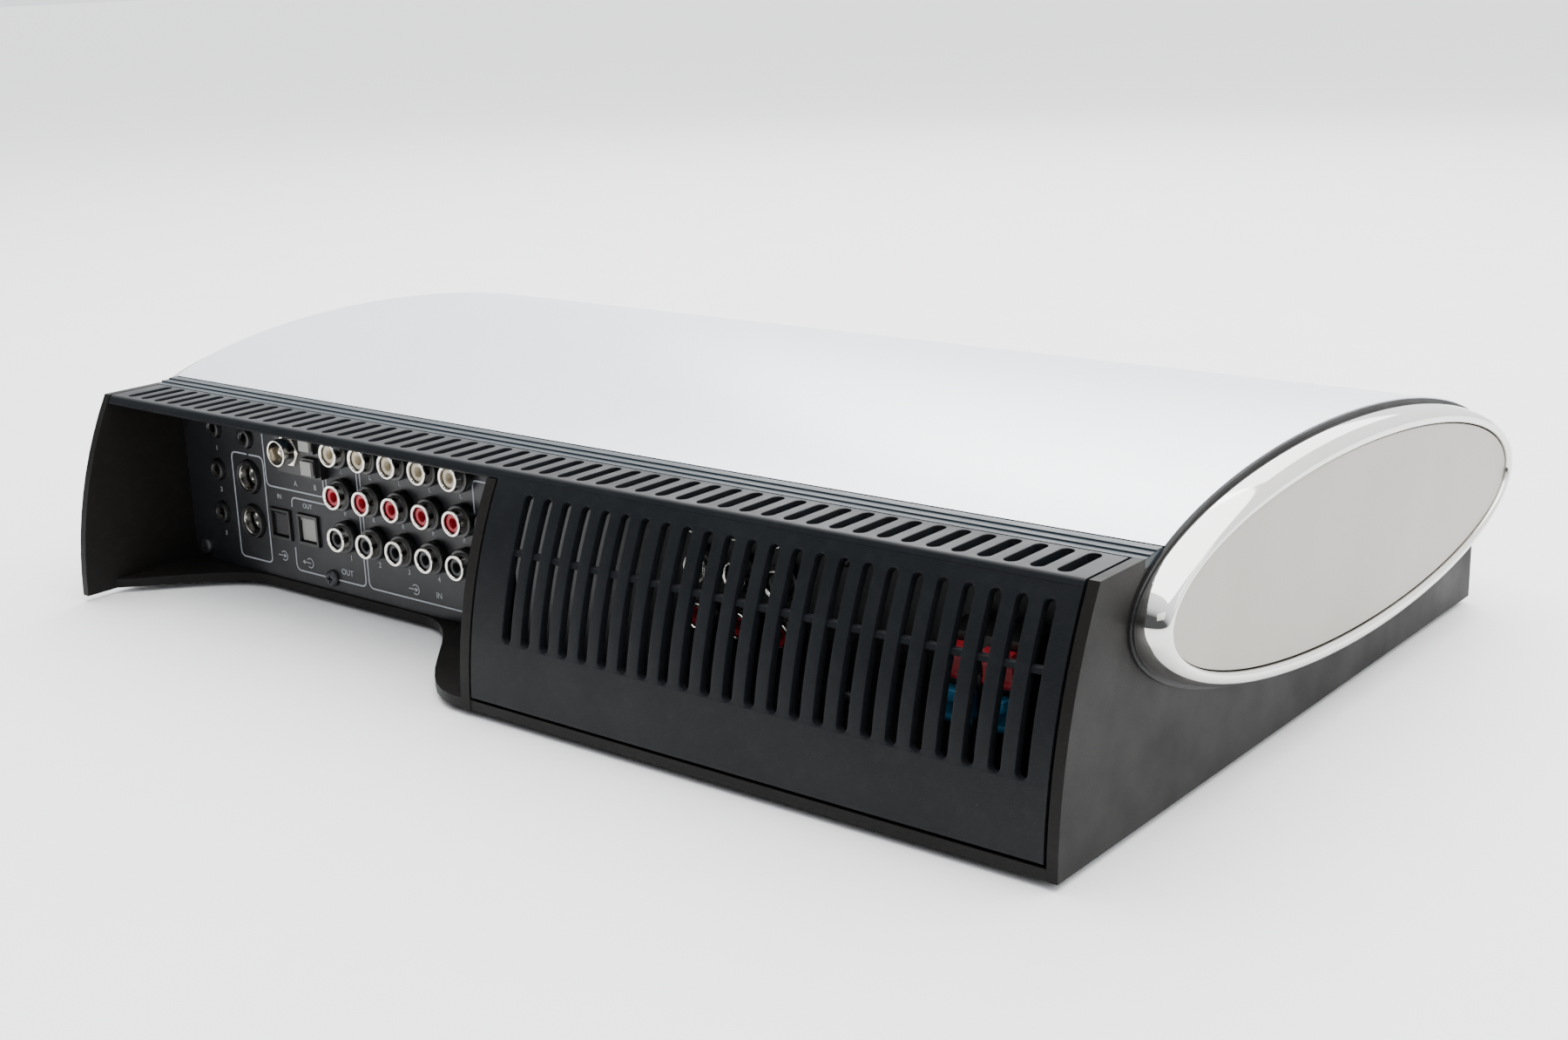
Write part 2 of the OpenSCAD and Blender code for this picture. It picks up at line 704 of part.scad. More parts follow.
module headphone_jack() {
    y = -front_y;
    color("silver") difference() {
        union() {
            rod_y(jack_place[0], jack_place[1], 7.9, y, y + wall_t);
            rod_y(jack_place[0], jack_place[1], 10, y - 1, y);
            block([jack_place[0] - 6, jack_place[0] + 6], [y + wall_t, y + wall_t + 12],
                [jack_place[1] - 5.5, jack_place[1] + 5.5]);
        }
        rod_y(jack_place[0], jack_place[1], 3.6, y - 2, y + wall_t + 10);
    }
}

// Screw with its head on a face and its shank under it
module screw(h) {
    cylinder(d = 5.6, h = 1.8);
    translate([0, 0, -h]) cylinder(d = screw_d, h = h + 0.5);
}

module case_screws() {
    color("silver") {
        for (p = board_posts) translate([p[0], p[1], board_top]) screw(board_t + 2.4);
        for (p = drive_posts) translate([p[0], p[1], drive_z[0] + 1.6]) screw(8);
        for (p = panel_screws) translate([p[0], panel_y, p[1]]) rotate([-90, 0, 0]) screw(3);
    }
}

base_housing();
rubber_feet();
trim_rail();
top_shell();
mirror([1, 0, 0]) end_frame();  // left_end_frame
end_frame();  // right_end_frame
mirror([1, 0, 0]) end_ring();  // left_end_ring
end_ring();  // right_end_ring
mirror([1, 0, 0]) end_cap();  // left_end_cap
end_cap();  // right_end_cap
front_fascia();
display_window();
display_board();
key_board();
for (i = [0:len(BUTTONS) - 1])
    button(i);
rear_cover();
main_board();
transformer_core();
transformer_coil();
filter_capacitors();
heat_sink();
tuner_box();
drive_frame();
guide_rods();
turntable();
laser_sled();
disc_tray();
tray_bezel();
connector_panel();
for (i = [0:len(PHONOS) - 1])
    phono_stack(i);
video_phono_block();
phono_inserts_white();
phono_inserts_red();
phono_inserts_black();
for (i = [0:len(DINS) - 1])
    din_socket(i);
mini_jacks();
antenna_block();
optical_socket(0);  // optical_input
optical_socket(1);  // optical_output
optical_shutter(0);  // input_shutter
optical_shutter(1);  // output_shutter
speaker_terminals();
for (i = [0:len(LEVERS) - 1])
    speaker_lever(i);
mains_inlet();
headphone_jack();
case_screws();
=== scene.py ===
"""Stereo receiver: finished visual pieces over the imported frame."""

import json
import logging
import math
from collections.abc import Callable, Iterable, Sequence
from dataclasses import dataclass, field
from enum import Enum

import bmesh
import bpy
from mathutils import Matrix, Vector

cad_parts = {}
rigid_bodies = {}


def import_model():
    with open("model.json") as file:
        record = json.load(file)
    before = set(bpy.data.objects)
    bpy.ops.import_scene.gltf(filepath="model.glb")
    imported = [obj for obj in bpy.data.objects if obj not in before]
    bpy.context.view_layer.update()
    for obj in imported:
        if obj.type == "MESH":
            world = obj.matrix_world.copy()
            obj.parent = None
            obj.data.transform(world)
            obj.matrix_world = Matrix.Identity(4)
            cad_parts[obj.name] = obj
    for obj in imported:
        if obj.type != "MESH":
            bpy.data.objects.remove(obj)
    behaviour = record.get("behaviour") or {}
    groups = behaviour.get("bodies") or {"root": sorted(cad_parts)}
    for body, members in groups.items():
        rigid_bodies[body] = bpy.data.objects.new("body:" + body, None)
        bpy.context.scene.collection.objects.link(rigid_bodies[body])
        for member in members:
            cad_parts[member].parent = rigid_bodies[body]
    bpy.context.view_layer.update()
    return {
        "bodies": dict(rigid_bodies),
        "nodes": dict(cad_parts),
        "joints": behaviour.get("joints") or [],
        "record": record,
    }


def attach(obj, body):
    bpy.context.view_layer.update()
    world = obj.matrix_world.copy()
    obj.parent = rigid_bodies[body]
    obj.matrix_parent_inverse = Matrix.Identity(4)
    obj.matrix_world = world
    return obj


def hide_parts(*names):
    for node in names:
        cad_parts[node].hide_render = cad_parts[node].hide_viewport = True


LOG = logging.getLogger("receiver")
MM = 0.001
CHASSIS = "chassis"

Point = tuple[float, float, float]
Pair = tuple[float, float]
Place = Callable[[float, float, float], Point]
Socket = bpy.types.NodeSocket
Color = tuple[float, float, float, float]


# ---------------------------------------------------------------- dimensions

@dataclass(frozen=True)
class Oval:
    """Leaning oval that the silver body follows, in millimetres."""
    a: float = 113.4
    b: float = 32.5
    y: float = -14.9
    z: float = 48.3
    lean: float = 2.3

    def at(self, angle: float, inset: float = 0.0) -> Pair:
        """Point on the oval.

        Args:
            angle: Angle round the oval in degrees.
            inset: Distance pulled inwards.

        Returns:
            The (y, z) point in millimetres.
        """
        t, k = math.radians(angle), math.radians(self.lean)
        u, v = (self.a - inset) * math.cos(t), (self.b - inset) * math.sin(t)
        return (self.y + u * math.cos(k) - v * math.sin(k),
                self.z + u * math.sin(k) + v * math.cos(k))


@dataclass(frozen=True)
class Plan:
    """Main dimensions that the pieces share with the solids, in millimetres."""
    half_w: float = 190.5
    cover_w: float = 186.7
    cover_t: float = 2.5
    ledge_z: float = 68.0
    ledge_y: float = 90.9
    seam_y: float = 108.6
    arc_y: float = -12.0
    arc_r: float = 140.0
    cover_low: float = 5.8
    lip_low: float = 65.5
    cover_x: float = -1.0
    rib_x: float = 4.0
    panel_y: float = 83.5
    shell_t: float = 1.4
    shell_start: float = 30.941
    shell_end: float = 158.4
    frame_t: float = 0.6
    ring_t: float = 8.0
    ring_in: float = 1.6
    ring_w: float = 7.0
    phono_z: float = 25.5
    video_z: float = 28.0
    ledge_pitch: float = 7.17
    back_pitch: float = 7.17
    phono_pitch: float = 14.1
    phono_x: float = 102.6
    video_x: float = -52.0
    nose_y: float = -128.3
    nose_z: float = 43.749
    oval: Oval = field(default_factory=Oval)


PLAN = Plan()


# ---------------------------------------------------------------- finishes

class Grain(Enum):
    """Kind of fine surface that a finish has."""
    MOULDED = "moulded"
    SMOOTH = "smooth"
    BRUSHED = "brushed"
    SATIN = "satin"


@dataclass(frozen=True)
class Finish:
    """Look of one material.

    Attributes:
        slot: Material slot of the record.
        color: Base colour, linear.
        roughness: Middle roughness.
        metallic: 0 for plastic and paint, 1 for metal.
        grain: Kind of fine surface.
        size: Size of the grain in millimetres.
        depth: Height of the grain in millimetres.
        mottle: Share by which the colour varies.
        dust: Amount of pale specks and film.
        coat: Weight of a clear coat.
        transmission: Share of light let through.
        specular: Strength of the reflection of a non-metal.
    """
    slot: str
    color: Point
    roughness: float
    metallic: float = 0.0
    grain: Grain = Grain.SMOOTH
    size: float = 0.5
    depth: float = 0.01
    mottle: float = 0.08
    dust: float = 0.0
    coat: float = 0.0
    transmission: float = 0.0
    specular: float = 0.5


FINISHES: tuple[Finish, ...] = (
    Finish("charcoal_plastic", (0.0062, 0.0056, 0.0050), 0.5, grain=Grain.MOULDED, size=0.4,
           depth=0.028, mottle=0.10, dust=0.06, specular=0.12),
    Finish("cover_plastic", (0.0048, 0.0057, 0.0070), 0.43, grain=Grain.MOULDED, size=0.4,
           depth=0.028, mottle=0.12, dust=0.08, specular=0.14),
    Finish("rail_plastic", (0.009, 0.016, 0.022), 0.36, size=0.4, depth=0.004, dust=0.05,
           specular=0.2),
    Finish("silver_shell", (0.80, 0.83, 0.86), 0.34, metallic=0.75, grain=Grain.SATIN,
           size=0.25, depth=0.004, mottle=0.012),
    Finish("frame_plastic", (0.008, 0.008, 0.0085), 0.5, grain=Grain.MOULDED, size=0.5,
           depth=0.02, specular=0.2),
    Finish("polished_chrome", (0.66, 0.645, 0.62), 0.06, metallic=1.0, size=40.0, depth=0.004,
           mottle=0.03),
    Finish("satin_cap", (0.33, 0.312, 0.28), 0.42, metallic=0.8, grain=Grain.SATIN, size=0.22,
           depth=0.006, mottle=0.05),
    Finish("gloss_black", (0.008, 0.008, 0.009), 0.12, size=8.0, depth=0.001, specular=0.25),
    Finish("smoked_window", (0.03, 0.032, 0.036), 0.06, size=8.0, depth=0.001,
           transmission=0.75),
    Finish("button_plastic", (0.22, 0.225, 0.24), 0.3, grain=Grain.SATIN, size=0.3, depth=0.006),
    Finish("panel_black", (0.0075, 0.0080, 0.0095), 0.4, grain=Grain.MOULDED, size=0.3,
           depth=0.012, mottle=0.2, dust=0.15, specular=0.4),
    Finish("socket_black", (0.0085, 0.0085, 0.009), 0.32, size=0.5, depth=0.004, dust=0.05),
    Finish("nickel", (0.80, 0.77, 0.71), 0.16, metallic=1.0, grain=Grain.BRUSHED, size=0.15,
           depth=0.003, mottle=0.12),
    Finish("ivory_plastic", (0.56, 0.49, 0.36), 0.38, size=0.6, depth=0.004),
    Finish("red_plastic", (0.33, 0.010, 0.020), 0.34, size=0.6, depth=0.004),
    Finish("black_plastic", (0.009, 0.009, 0.0105), 0.4, size=0.5, depth=0.006),
    Finish("blue_plastic", (0.030, 0.18, 0.33), 0.36, size=0.5, depth=0.005),
    Finish("shutter_grey", (0.27, 0.265, 0.25), 0.42, size=0.5, depth=0.006),
    Finish("tray_plastic", (0.022, 0.022, 0.025), 0.42, grain=Grain.MOULDED, size=0.5,
           depth=0.018),
    Finish("board_green", (0.012, 0.085, 0.035), 0.3, size=3.0, depth=0.02, mottle=0.35,
           coat=0.3),
    Finish("zinc_steel", (0.52, 0.53, 0.55), 0.34, metallic=1.0, grain=Grain.BRUSHED, size=0.3,
           depth=0.006, mottle=0.22),
    Finish("dark_steel", (0.07, 0.07, 0.078), 0.42, metallic=0.6, grain=Grain.BRUSHED, size=0.5,
           depth=0.05, mottle=0.2),
    Finish("coil_tape", (0.62, 0.38, 0.05), 0.22, size=4.0, depth=0.02, mottle=0.15, coat=0.3),
    Finish("capacitor_sleeve", (0.018, 0.028, 0.095), 0.22, size=5.0, depth=0.02),
    Finish("black_alloy", (0.05, 0.05, 0.056), 0.4, metallic=0.7, grain=Grain.BRUSHED, size=0.3,
           depth=0.006),
    Finish("foot_rubber", (0.015, 0.015, 0.015), 0.75, grain=Grain.MOULDED, size=0.6, depth=0.02),
    Finish("screw_steel", (0.40, 0.40, 0.41), 0.28, metallic=1.0, grain=Grain.BRUSHED, size=0.12,
           depth=0.003),
)


class MaterialLibrary:
    """Builds and hands out the procedural materials."""

    def __init__(self, finishes: Iterable[Finish]) -> None:
        """Builds a material for each finish, the print and the display.

        Args:
            finishes: The finishes, one for each slot.
        """
        self._materials = {f.slot: self.made(f) for f in finishes}
        self._materials["print_white"] = self.made(
            Finish("panel_black", (0.33, 0.35, 0.38), 0.5, size=0.4, depth=0.004, mottle=0.1),
            "print_white")
        self._materials["glow_segments"] = self._glow()

    def __getitem__(self, name: str) -> bpy.types.Material:
        """Material of that name."""
        return self._materials[name]

    @staticmethod
    def _glow() -> bpy.types.Material:
        """Material of the display's lit digits.

        Returns:
            The new material.
        """
        material = bpy.data.materials.new("glow_segments")
        material.use_nodes = True
        tree = material.node_tree
        shader = tree.nodes["Principled BSDF"]
        coords = tree.nodes.new("ShaderNodeTexCoord")
        noise = tree.nodes.new("ShaderNodeTexNoise")
        noise.inputs["Scale"].default_value = 1500.0
        tree.links.new(coords.outputs["Object"], noise.inputs["Vector"])
        tree.links.new(noise.outputs["Fac"], shader.inputs["Roughness"])
        shader.inputs["Base Color"].default_value = (0.2, 0.5, 0.6, 1.0)
        shader.inputs["Emission Color"].default_value = (0.25, 0.75, 0.95, 1.0)
        shader.inputs["Emission Strength"].default_value = 1.2
        return material

    @staticmethod
    def made(finish: Finish, name: str | None = None) -> bpy.types.Material:
        """Node tree of one finish.

        Args:
            finish: What the material looks like.
            name: Name, if it isn't the slot's.

        Returns:
            The new material.
        """
        material = bpy.data.materials.new(name or finish.slot)
        material.use_nodes = True
        tree = material.node_tree
        nodes, links = tree.nodes, tree.links
        shader = nodes["Principled BSDF"]
        coords = nodes.new("ShaderNodeTexCoord").outputs["Object"]

        def noise(scale: float, detail: float, stretch: Point = (1, 1, 1)) -> Socket:
            """Noise over the piece.

            Args:
                scale: Cells in a metre.
                detail: Octaves of finer noise.
                stretch: Scale along each axis.

            Returns:
                The noise's value.
            """
            mapping = nodes.new("ShaderNodeMapping")
            mapping.inputs["Scale"].default_value = stretch
            links.new(coords, mapping.inputs["Vector"])
            node = nodes.new("ShaderNodeTexNoise")
            node.inputs["Scale"].default_value = scale
            node.inputs["Detail"].default_value = detail
            links.new(mapping.outputs["Vector"], node.inputs["Vector"])
            return node.outputs["Fac"]

        def ranged(value: Socket, low: float, high: float, to_low: float,
                   to_high: float) -> Socket:
            """Maps one range of values to another.

            Args:
                value: What is mapped.
                low: Start of its range.
                high: End of its range.
                to_low: Start of the new range.
                to_high: End of the new range.

            Returns:
                The mapped value.
            """
            node = nodes.new("ShaderNodeMapRange")
            for socket, number in zip(("From Min", "From Max", "To Min", "To Max"),
                                      (low, high, to_low, to_high)):
                node.inputs[socket].default_value = number
            links.new(value, node.inputs["Value"])
            return node.outputs["Result"]

        def mixed(factor: Socket, first: Socket | Color, second: Socket | Color) -> Socket:
            """Mixes two colours.

            Args:
                factor: Share of the second colour.
                first: Colour at 0.
                second: Colour at 1.

            Returns:
                The mixed colour.
            """
            node = nodes.new("ShaderNodeMix")
            node.data_type = "RGBA"
            for socket, value in ((node.inputs[0], factor), (node.inputs[6], first),
                                  (node.inputs[7], second)):
                if isinstance(value, tuple):
                    socket.default_value = value
                else:
                    links.new(value, socket)
            return node.outputs[2]

        stretch = {Grain.BRUSHED: (0.03, 1, 1), Grain.SATIN: (0.35, 1, 1)}
        fine = noise(1000 / finish.size, 3.0, stretch.get(finish.grain, (1, 1, 1)))
        broad = noise(22.0, 4.0)
        c, m = finish.color, finish.mottle
        dark = tuple(max(0.0, v * (1 - m)) for v in c) + (1.0,)
        light = tuple(min(1.0, v * (1 + m)) for v in c) + (1.0,)
        color = mixed(ranged(broad, 0.3, 0.7, 0.0, 1.0), dark, light)
        swing = 0.04 if finish.grain is Grain.SATIN else 0.16
        rough = ranged(noise(60.0, 5.0), 0.25, 0.75, finish.roughness * (1 - swing),
                       min(1.0, finish.roughness * (1 + swing)))
        if finish.grain is Grain.MOULDED:
            color = mixed(ranged(fine, 0.45, 0.75, 0.0, 0.5), color,
                          tuple(min(1.0, v * 1.9) for v in c) + (1.0,))
        if finish.dust:
            specks = ranged(noise(2600.0, 2.0), 0.72, 0.76, 0.0, 1.6)
            patches = ranged(noise(14.0, 3.0), 0.45, 0.75, 0.0, 1.0)
            film = ranged(noise(260.0, 8.0), 0.5, 0.9, 0.0, 0.12)
            both = nodes.new("ShaderNodeMath")
            both.operation = "MULTIPLY_ADD"
            links.new(specks, both.inputs[0])
            links.new(patches, both.inputs[1])
            links.new(film, both.inputs[2])
            amount = nodes.new("ShaderNodeMath")
            amount.operation = "MULTIPLY"
            amount.use_clamp = True
            amount.inputs[1].default_value = finish.dust
            links.new(both.outputs[0], amount.inputs[0])
            color = mixed(amount.outputs[0], color, (0.36, 0.36, 0.37, 1.0))
        links.new(color, shader.inputs["Base Color"])
        links.new(rough, shader.inputs["Roughness"])
        bump = nodes.new("ShaderNodeBump")
        bump.inputs["Distance"].default_value = finish.depth * MM
        bump.inputs["Strength"].default_value = 0.8
        links.new(fine, bump.inputs["Height"])
        links.new(bump.outputs["Normal"], shader.inputs["Normal"])
        shader.inputs["Metallic"].default_value = finish.metallic
        shader.inputs["Coat Weight"].default_value = finish.coat
        shader.inputs["Transmission Weight"].default_value = finish.transmission
        shader.inputs["Specular IOR Level"].default_value = finish.specular
        return material


# ---------------------------------------------------------------- mesh helpers

class Sheet:
    """Collects faces by their corner points, in millimetres, and makes one mesh."""

    def __init__(self) -> None:
        """Starts without faces."""
        self._bm = bmesh.new()

    def face(self, *points: Sequence[float], material: int = 0) -> None:
        """Adds one face, unless it has no area.

        Args:
            *points: Corners in millimetres, in order.
            material: Material index.
        """
        corners = [p for k, p in enumerate(points) if tuple(p) != tuple(points[k - 1])]
        if len(corners) < 3:
            return
        made = self._bm.faces.new([self._bm.verts.new(Vector(p) * MM) for p in corners])
        made.material_index = material

    def strip(self, first: Sequence[Point], second: Sequence[Point], closed: bool = False,
              material: int = 0) -> None:
        """Joins two rows of points with quads.

        Args:
            first: Points of one row.
            second: Points of the other, as many.
            closed: Whether the rows go round.
            material: Material index.
        """
        count = len(first)
        for k in range(count if closed else count - 1):
            n = (k + 1) % count
            self.face(first[k], first[n], second[n], second[k], material=material)

    def sweep(self, rows: Sequence[Sequence[Point]], around: bool, closed: bool,
              material: int = 0) -> None:
        """Joins rows one after another.

        Args:
            rows: The rows of points.
            around: Whether the last row joins the first.
            closed: Whether each row goes round.
            material: Material index.
        """
        for k in range(len(rows) if around else len(rows) - 1):
            self.strip(rows[k], rows[(k + 1) % len(rows)], closed, material)

    def prism(self, outline: Sequence[Pair], place: Place,
              depth: Pair, material: int = 0) -> None:
        """Adds a closed prism.

        Args:
            outline: Its outline.
            place: Turns (u, v, depth) into a point.
            depth: Where it starts and ends.
            material: Material index.
        """
        low = [place(u, v, depth[0]) for u, v in outline]
        high = [place(u, v, depth[1]) for u, v in outline]
        self.strip(low, high, closed=True, material=material)
        self.face(*low, material=material)
        self.face(*high, material=material)

    def lathe(self, profile: Sequence[Pair], center: Point, steps: int = 40,
              material: int = 0, capped: bool = True) -> None:
        """Turns a profile about a line along Y.

        Args:
            profile: Points of (radius, along).
            center: Start of the line.
            steps: Faces round the line.
            material: Material index.
            capped: Whether open ends get a flat face.
        """
        rows = []
        for radius, along in profile:
            rows.append([(center[0] + radius * math.cos(math.tau * k / steps),
                          center[1] + along,
                          center[2] + radius * math.sin(math.tau * k / steps))
                         for k in range(steps)])
        for k in range(len(rows) - 1):
            self.strip(rows[k], rows[k + 1], closed=True, material=material)
        for row, radius in ((rows[0], profile[0][0]), (rows[-1], profile[-1][0])):
            if radius > 0 and capped:
                self.face(*row, material=material)

    def take(self, other: bpy.types.Mesh, material: int | None = None) -> None:
        """Adds another mesh's faces, and removes that mesh.

        Args:
            other: The mesh to take.
            material: Material index for its faces, if it changes.
        """
        if material is not None:
            other.polygons.foreach_set("material_index", [material] * len(other.polygons))
        self._bm.from_mesh(other)
        bpy.data.meshes.remove(other)

    def mesh(self, name: str, merge: float = 0.002, fill: bool = False) -> bpy.types.Mesh:
        """Welds the faces into a mesh.

        Args:
            name: Name of the mesh.
            merge: Distance under which points are one, in millimetres.
            fill: Whether open loops are closed with flat faces.

        Returns:
            The finished mesh.
        """
        bmesh.ops.remove_doubles(self._bm, verts=self._bm.verts, dist=merge * MM)
        if fill:
            edges = [e for e in self._bm.edges if e.is_boundary]
            bmesh.ops.holes_fill(self._bm, edges=edges, sides=0)
        bmesh.ops.recalc_face_normals(self._bm, faces=self._bm.faces)
        mesh = bpy.data.meshes.new(name)
        self._bm.to_mesh(mesh)
        self._bm.free()
        return mesh


def smooth(mesh: bpy.types.Mesh, angle: float = 32.0) -> None:
    """Shades a mesh smooth, except over sharp edges.

    Args:
        mesh: The mesh.
        angle: Angle over which an edge is sharp, in degrees.
    """
    mesh.polygons.foreach_set("use_smooth", [True] * len(mesh.polygons))
    mesh.set_sharp_from_angle(angle=math.radians(angle))


def add_piece(name: str, mesh: bpy.types.Mesh, materials: Sequence[bpy.types.Material],
              body: str, nodes: Sequence[str] = (), angle: float = 32.0,
              weighted: bool = False) -> bpy.types.Object:
    """Places a finished mesh as a piece of the object.

    Args:
        name: Name of the piece.
        mesh: Its mesh, in the row frame.
        materials: Its materials, in the order of the material indices.
        body: Body that it rides on.
        nodes: Nodes that it stands for.
        angle: Angle over which an edge is sharp.
        weighted: Whether the normals are weighted by face size.

    Returns:
        The new object.
    """
    piece = bpy.data.objects.new(name, mesh)
    bpy.context.scene.collection.objects.link(piece)
    for material in materials:
        mesh.materials.append(material)
    smooth(mesh, angle)
    if weighted:
        modifier = piece.modifiers.new("weighted", "WEIGHTED_NORMAL")
        modifier.keep_sharp = True
        modifier.weight = 80
    if nodes:
        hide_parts(*nodes)
    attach(piece, body)
    return piece


def softened_mesh(node: bpy.types.Object, name: str, width: float, segments: int = 2,
                  sharp: float = 35.0) -> bpy.types.Mesh:
    """Copy of a node's mesh with flat faces joined and sharp edges rounded.

    Args:
        node: The frame's object.
        name: Name of the new mesh.
        width: Width of the rounding in millimetres, 0 for none.
        segments: Faces across a rounding.
        sharp: Angle over which an edge is rounded, in degrees.

    Returns:
        The new mesh.
    """
    bm = bmesh.new()
    bm.from_mesh(node.data)
    bmesh.ops.remove_doubles(bm, verts=bm.verts, dist=0.002 * MM)
    bmesh.ops.dissolve_degenerate(bm, edges=bm.edges, dist=0.001 * MM)
    bmesh.ops.dissolve_limit(bm, angle_limit=math.radians(0.6), verts=bm.verts, edges=bm.edges)
    bmesh.ops.recalc_face_normals(bm, faces=bm.faces)
    if width:
        edges = [e for e in bm.edges
                 if len(e.link_faces) == 2 and e.calc_face_angle(0) > math.radians(sharp)]
        bmesh.ops.bevel(bm, geom=edges, offset=width * MM, offset_type="OFFSET",
                        segments=segments, profile=0.5, affect="EDGES", clamp_overlap=True)
    bmesh.ops.triangulate(bm, faces=[f for f in bm.faces if len(f.verts) > 4])
    mesh = bpy.data.meshes.new(name)
    bm.to_mesh(mesh)
    bm.free()
    return mesh


# ---------------------------------------------------------------- geometry nodes

class NodeTree:
    """Geometry node group that is wired from Python."""

    def __init__(self, name: str) -> None:
        """Makes an empty group with geometry in and out.

        Args:
            name: The group's name.
        """
        self.tree = bpy.data.node_groups.new(name, "GeometryNodeTree")
        self._sockets: dict[str, str] = {}
        self._in = None
        self.add_socket("Geometry", "NodeSocketGeometry", "INPUT")
        self.add_socket("Geometry", "NodeSocketGeometry", "OUTPUT")

    def add_socket(self, name: str, kind: str, way: str = "INPUT",
                   value: float | None = None) -> None:
        """Adds a named input or output to the group.

        Args:
            name: The socket's name.
            kind: The socket's type.
            way: INPUT or OUTPUT.
            value: Default value.
        """
        socket = self.tree.interface.new_socket(name, in_out=way, socket_type=kind)
        if value is not None:
            socket.default_value = value
        if way == "INPUT":
            self._sockets[name] = socket.identifier

    def given(self, name: str) -> Socket:
        """Finds an input of the group.

        Args:
            name: The input's name.

        Returns:
            The input's value.
        """
        if self._in is None:
            self._in = self.tree.nodes.new("NodeGroupInput")
        return self._in.outputs[name]

    def node(self, kind: str, values: dict | None = None, out: int | str = 0,
             **settings: str) -> Socket:
        """Adds a node.

        Args:
            kind: Type of the node.
            values: Values or outputs for its inputs, by name or number.
            out: Output to return.
            **settings: Properties of the node.

        Returns:
            The chosen output.
        """
        made = self.tree.nodes.new(kind)
        for key, value in settings.items():
            setattr(made, key, value)
        for key, value in (values or {}).items():
            if isinstance(value, bpy.types.NodeSocket):
                self.tree.links.new(value, made.inputs[key])
            else:
                made.inputs[key].default_value = value
        return made.outputs[out]

    def math(self, kind: str, first: Socket | float, second: Socket | float = 0.0) -> Socket:
        """A math node's output."""
        return self.node("ShaderNodeMath", {0: first, 1: second}, operation=kind)

    def finish(self, geometry: Socket) -> None:
        """Links the geometry to the group's output."""
        end = self.tree.nodes.new("NodeGroupOutput")
        self.tree.links.new(geometry, end.inputs["Geometry"])

    def run(self, mesh: bpy.types.Mesh, name: str, **values: object) -> bpy.types.Mesh:
        """Evaluates the group on a mesh and returns a plain mesh.

        Args:
            mesh: The mesh that goes in.
            name: Name of the mesh that comes out.
            **values: Values of the group's inputs, with _ for a space.

        Returns:
            A mesh without modifiers.
        """
        carrier = bpy.data.objects.new(name, mesh)
        bpy.context.scene.collection.objects.link(carrier)
        modifier = carrier.modifiers.new("nodes", "NODES")
        modifier.node_group = self.tree
        for key, value in values.items():
            modifier[self._sockets[key.replace("_", " ")]] = value
        carrier.update_tag()
        graph = bpy.context.evaluated_depsgraph_get()
        result = bpy.data.meshes.new_from_object(carrier.evaluated_get(graph))
        result.materials.clear()
        result.name = name
        bpy.data.objects.remove(carrier)
        bpy.data.meshes.remove(mesh)
        return result


def row_of_copies() -> NodeTree:
    """Node group that repeats a mesh along a straight row and welds the copies.

    Returns:
        The group.
    """
    group = NodeTree("row_of_copies")
    group.add_socket("Count", "NodeSocketInt", value=2)
    group.add_socket("Start", "NodeSocketVector")
    group.add_socket("Step", "NodeSocketVector")
    group.add_socket("Weld", "NodeSocketFloat", value=0.00001)
    group.add_socket("Material", "NodeSocketMaterial")
    row = group.node("GeometryNodeMeshLine", {"Count": group.given("Count"),
                     "Start Location": group.given("Start"), "Offset": group.given("Step")})
    copies = group.node("GeometryNodeInstanceOnPoints",
                        {"Points": row, "Instance": group.given("Geometry")})
    real = group.node("GeometryNodeRealizeInstances", {"Geometry": copies})
    welded = group.node("GeometryNodeMergeByDistance",
                        {"Geometry": real, "Distance": group.given("Weld")})
    group.finish(group.node("GeometryNodeSetMaterial",
                            {"Geometry": welded, "Material": group.given("Material")}))
    return group


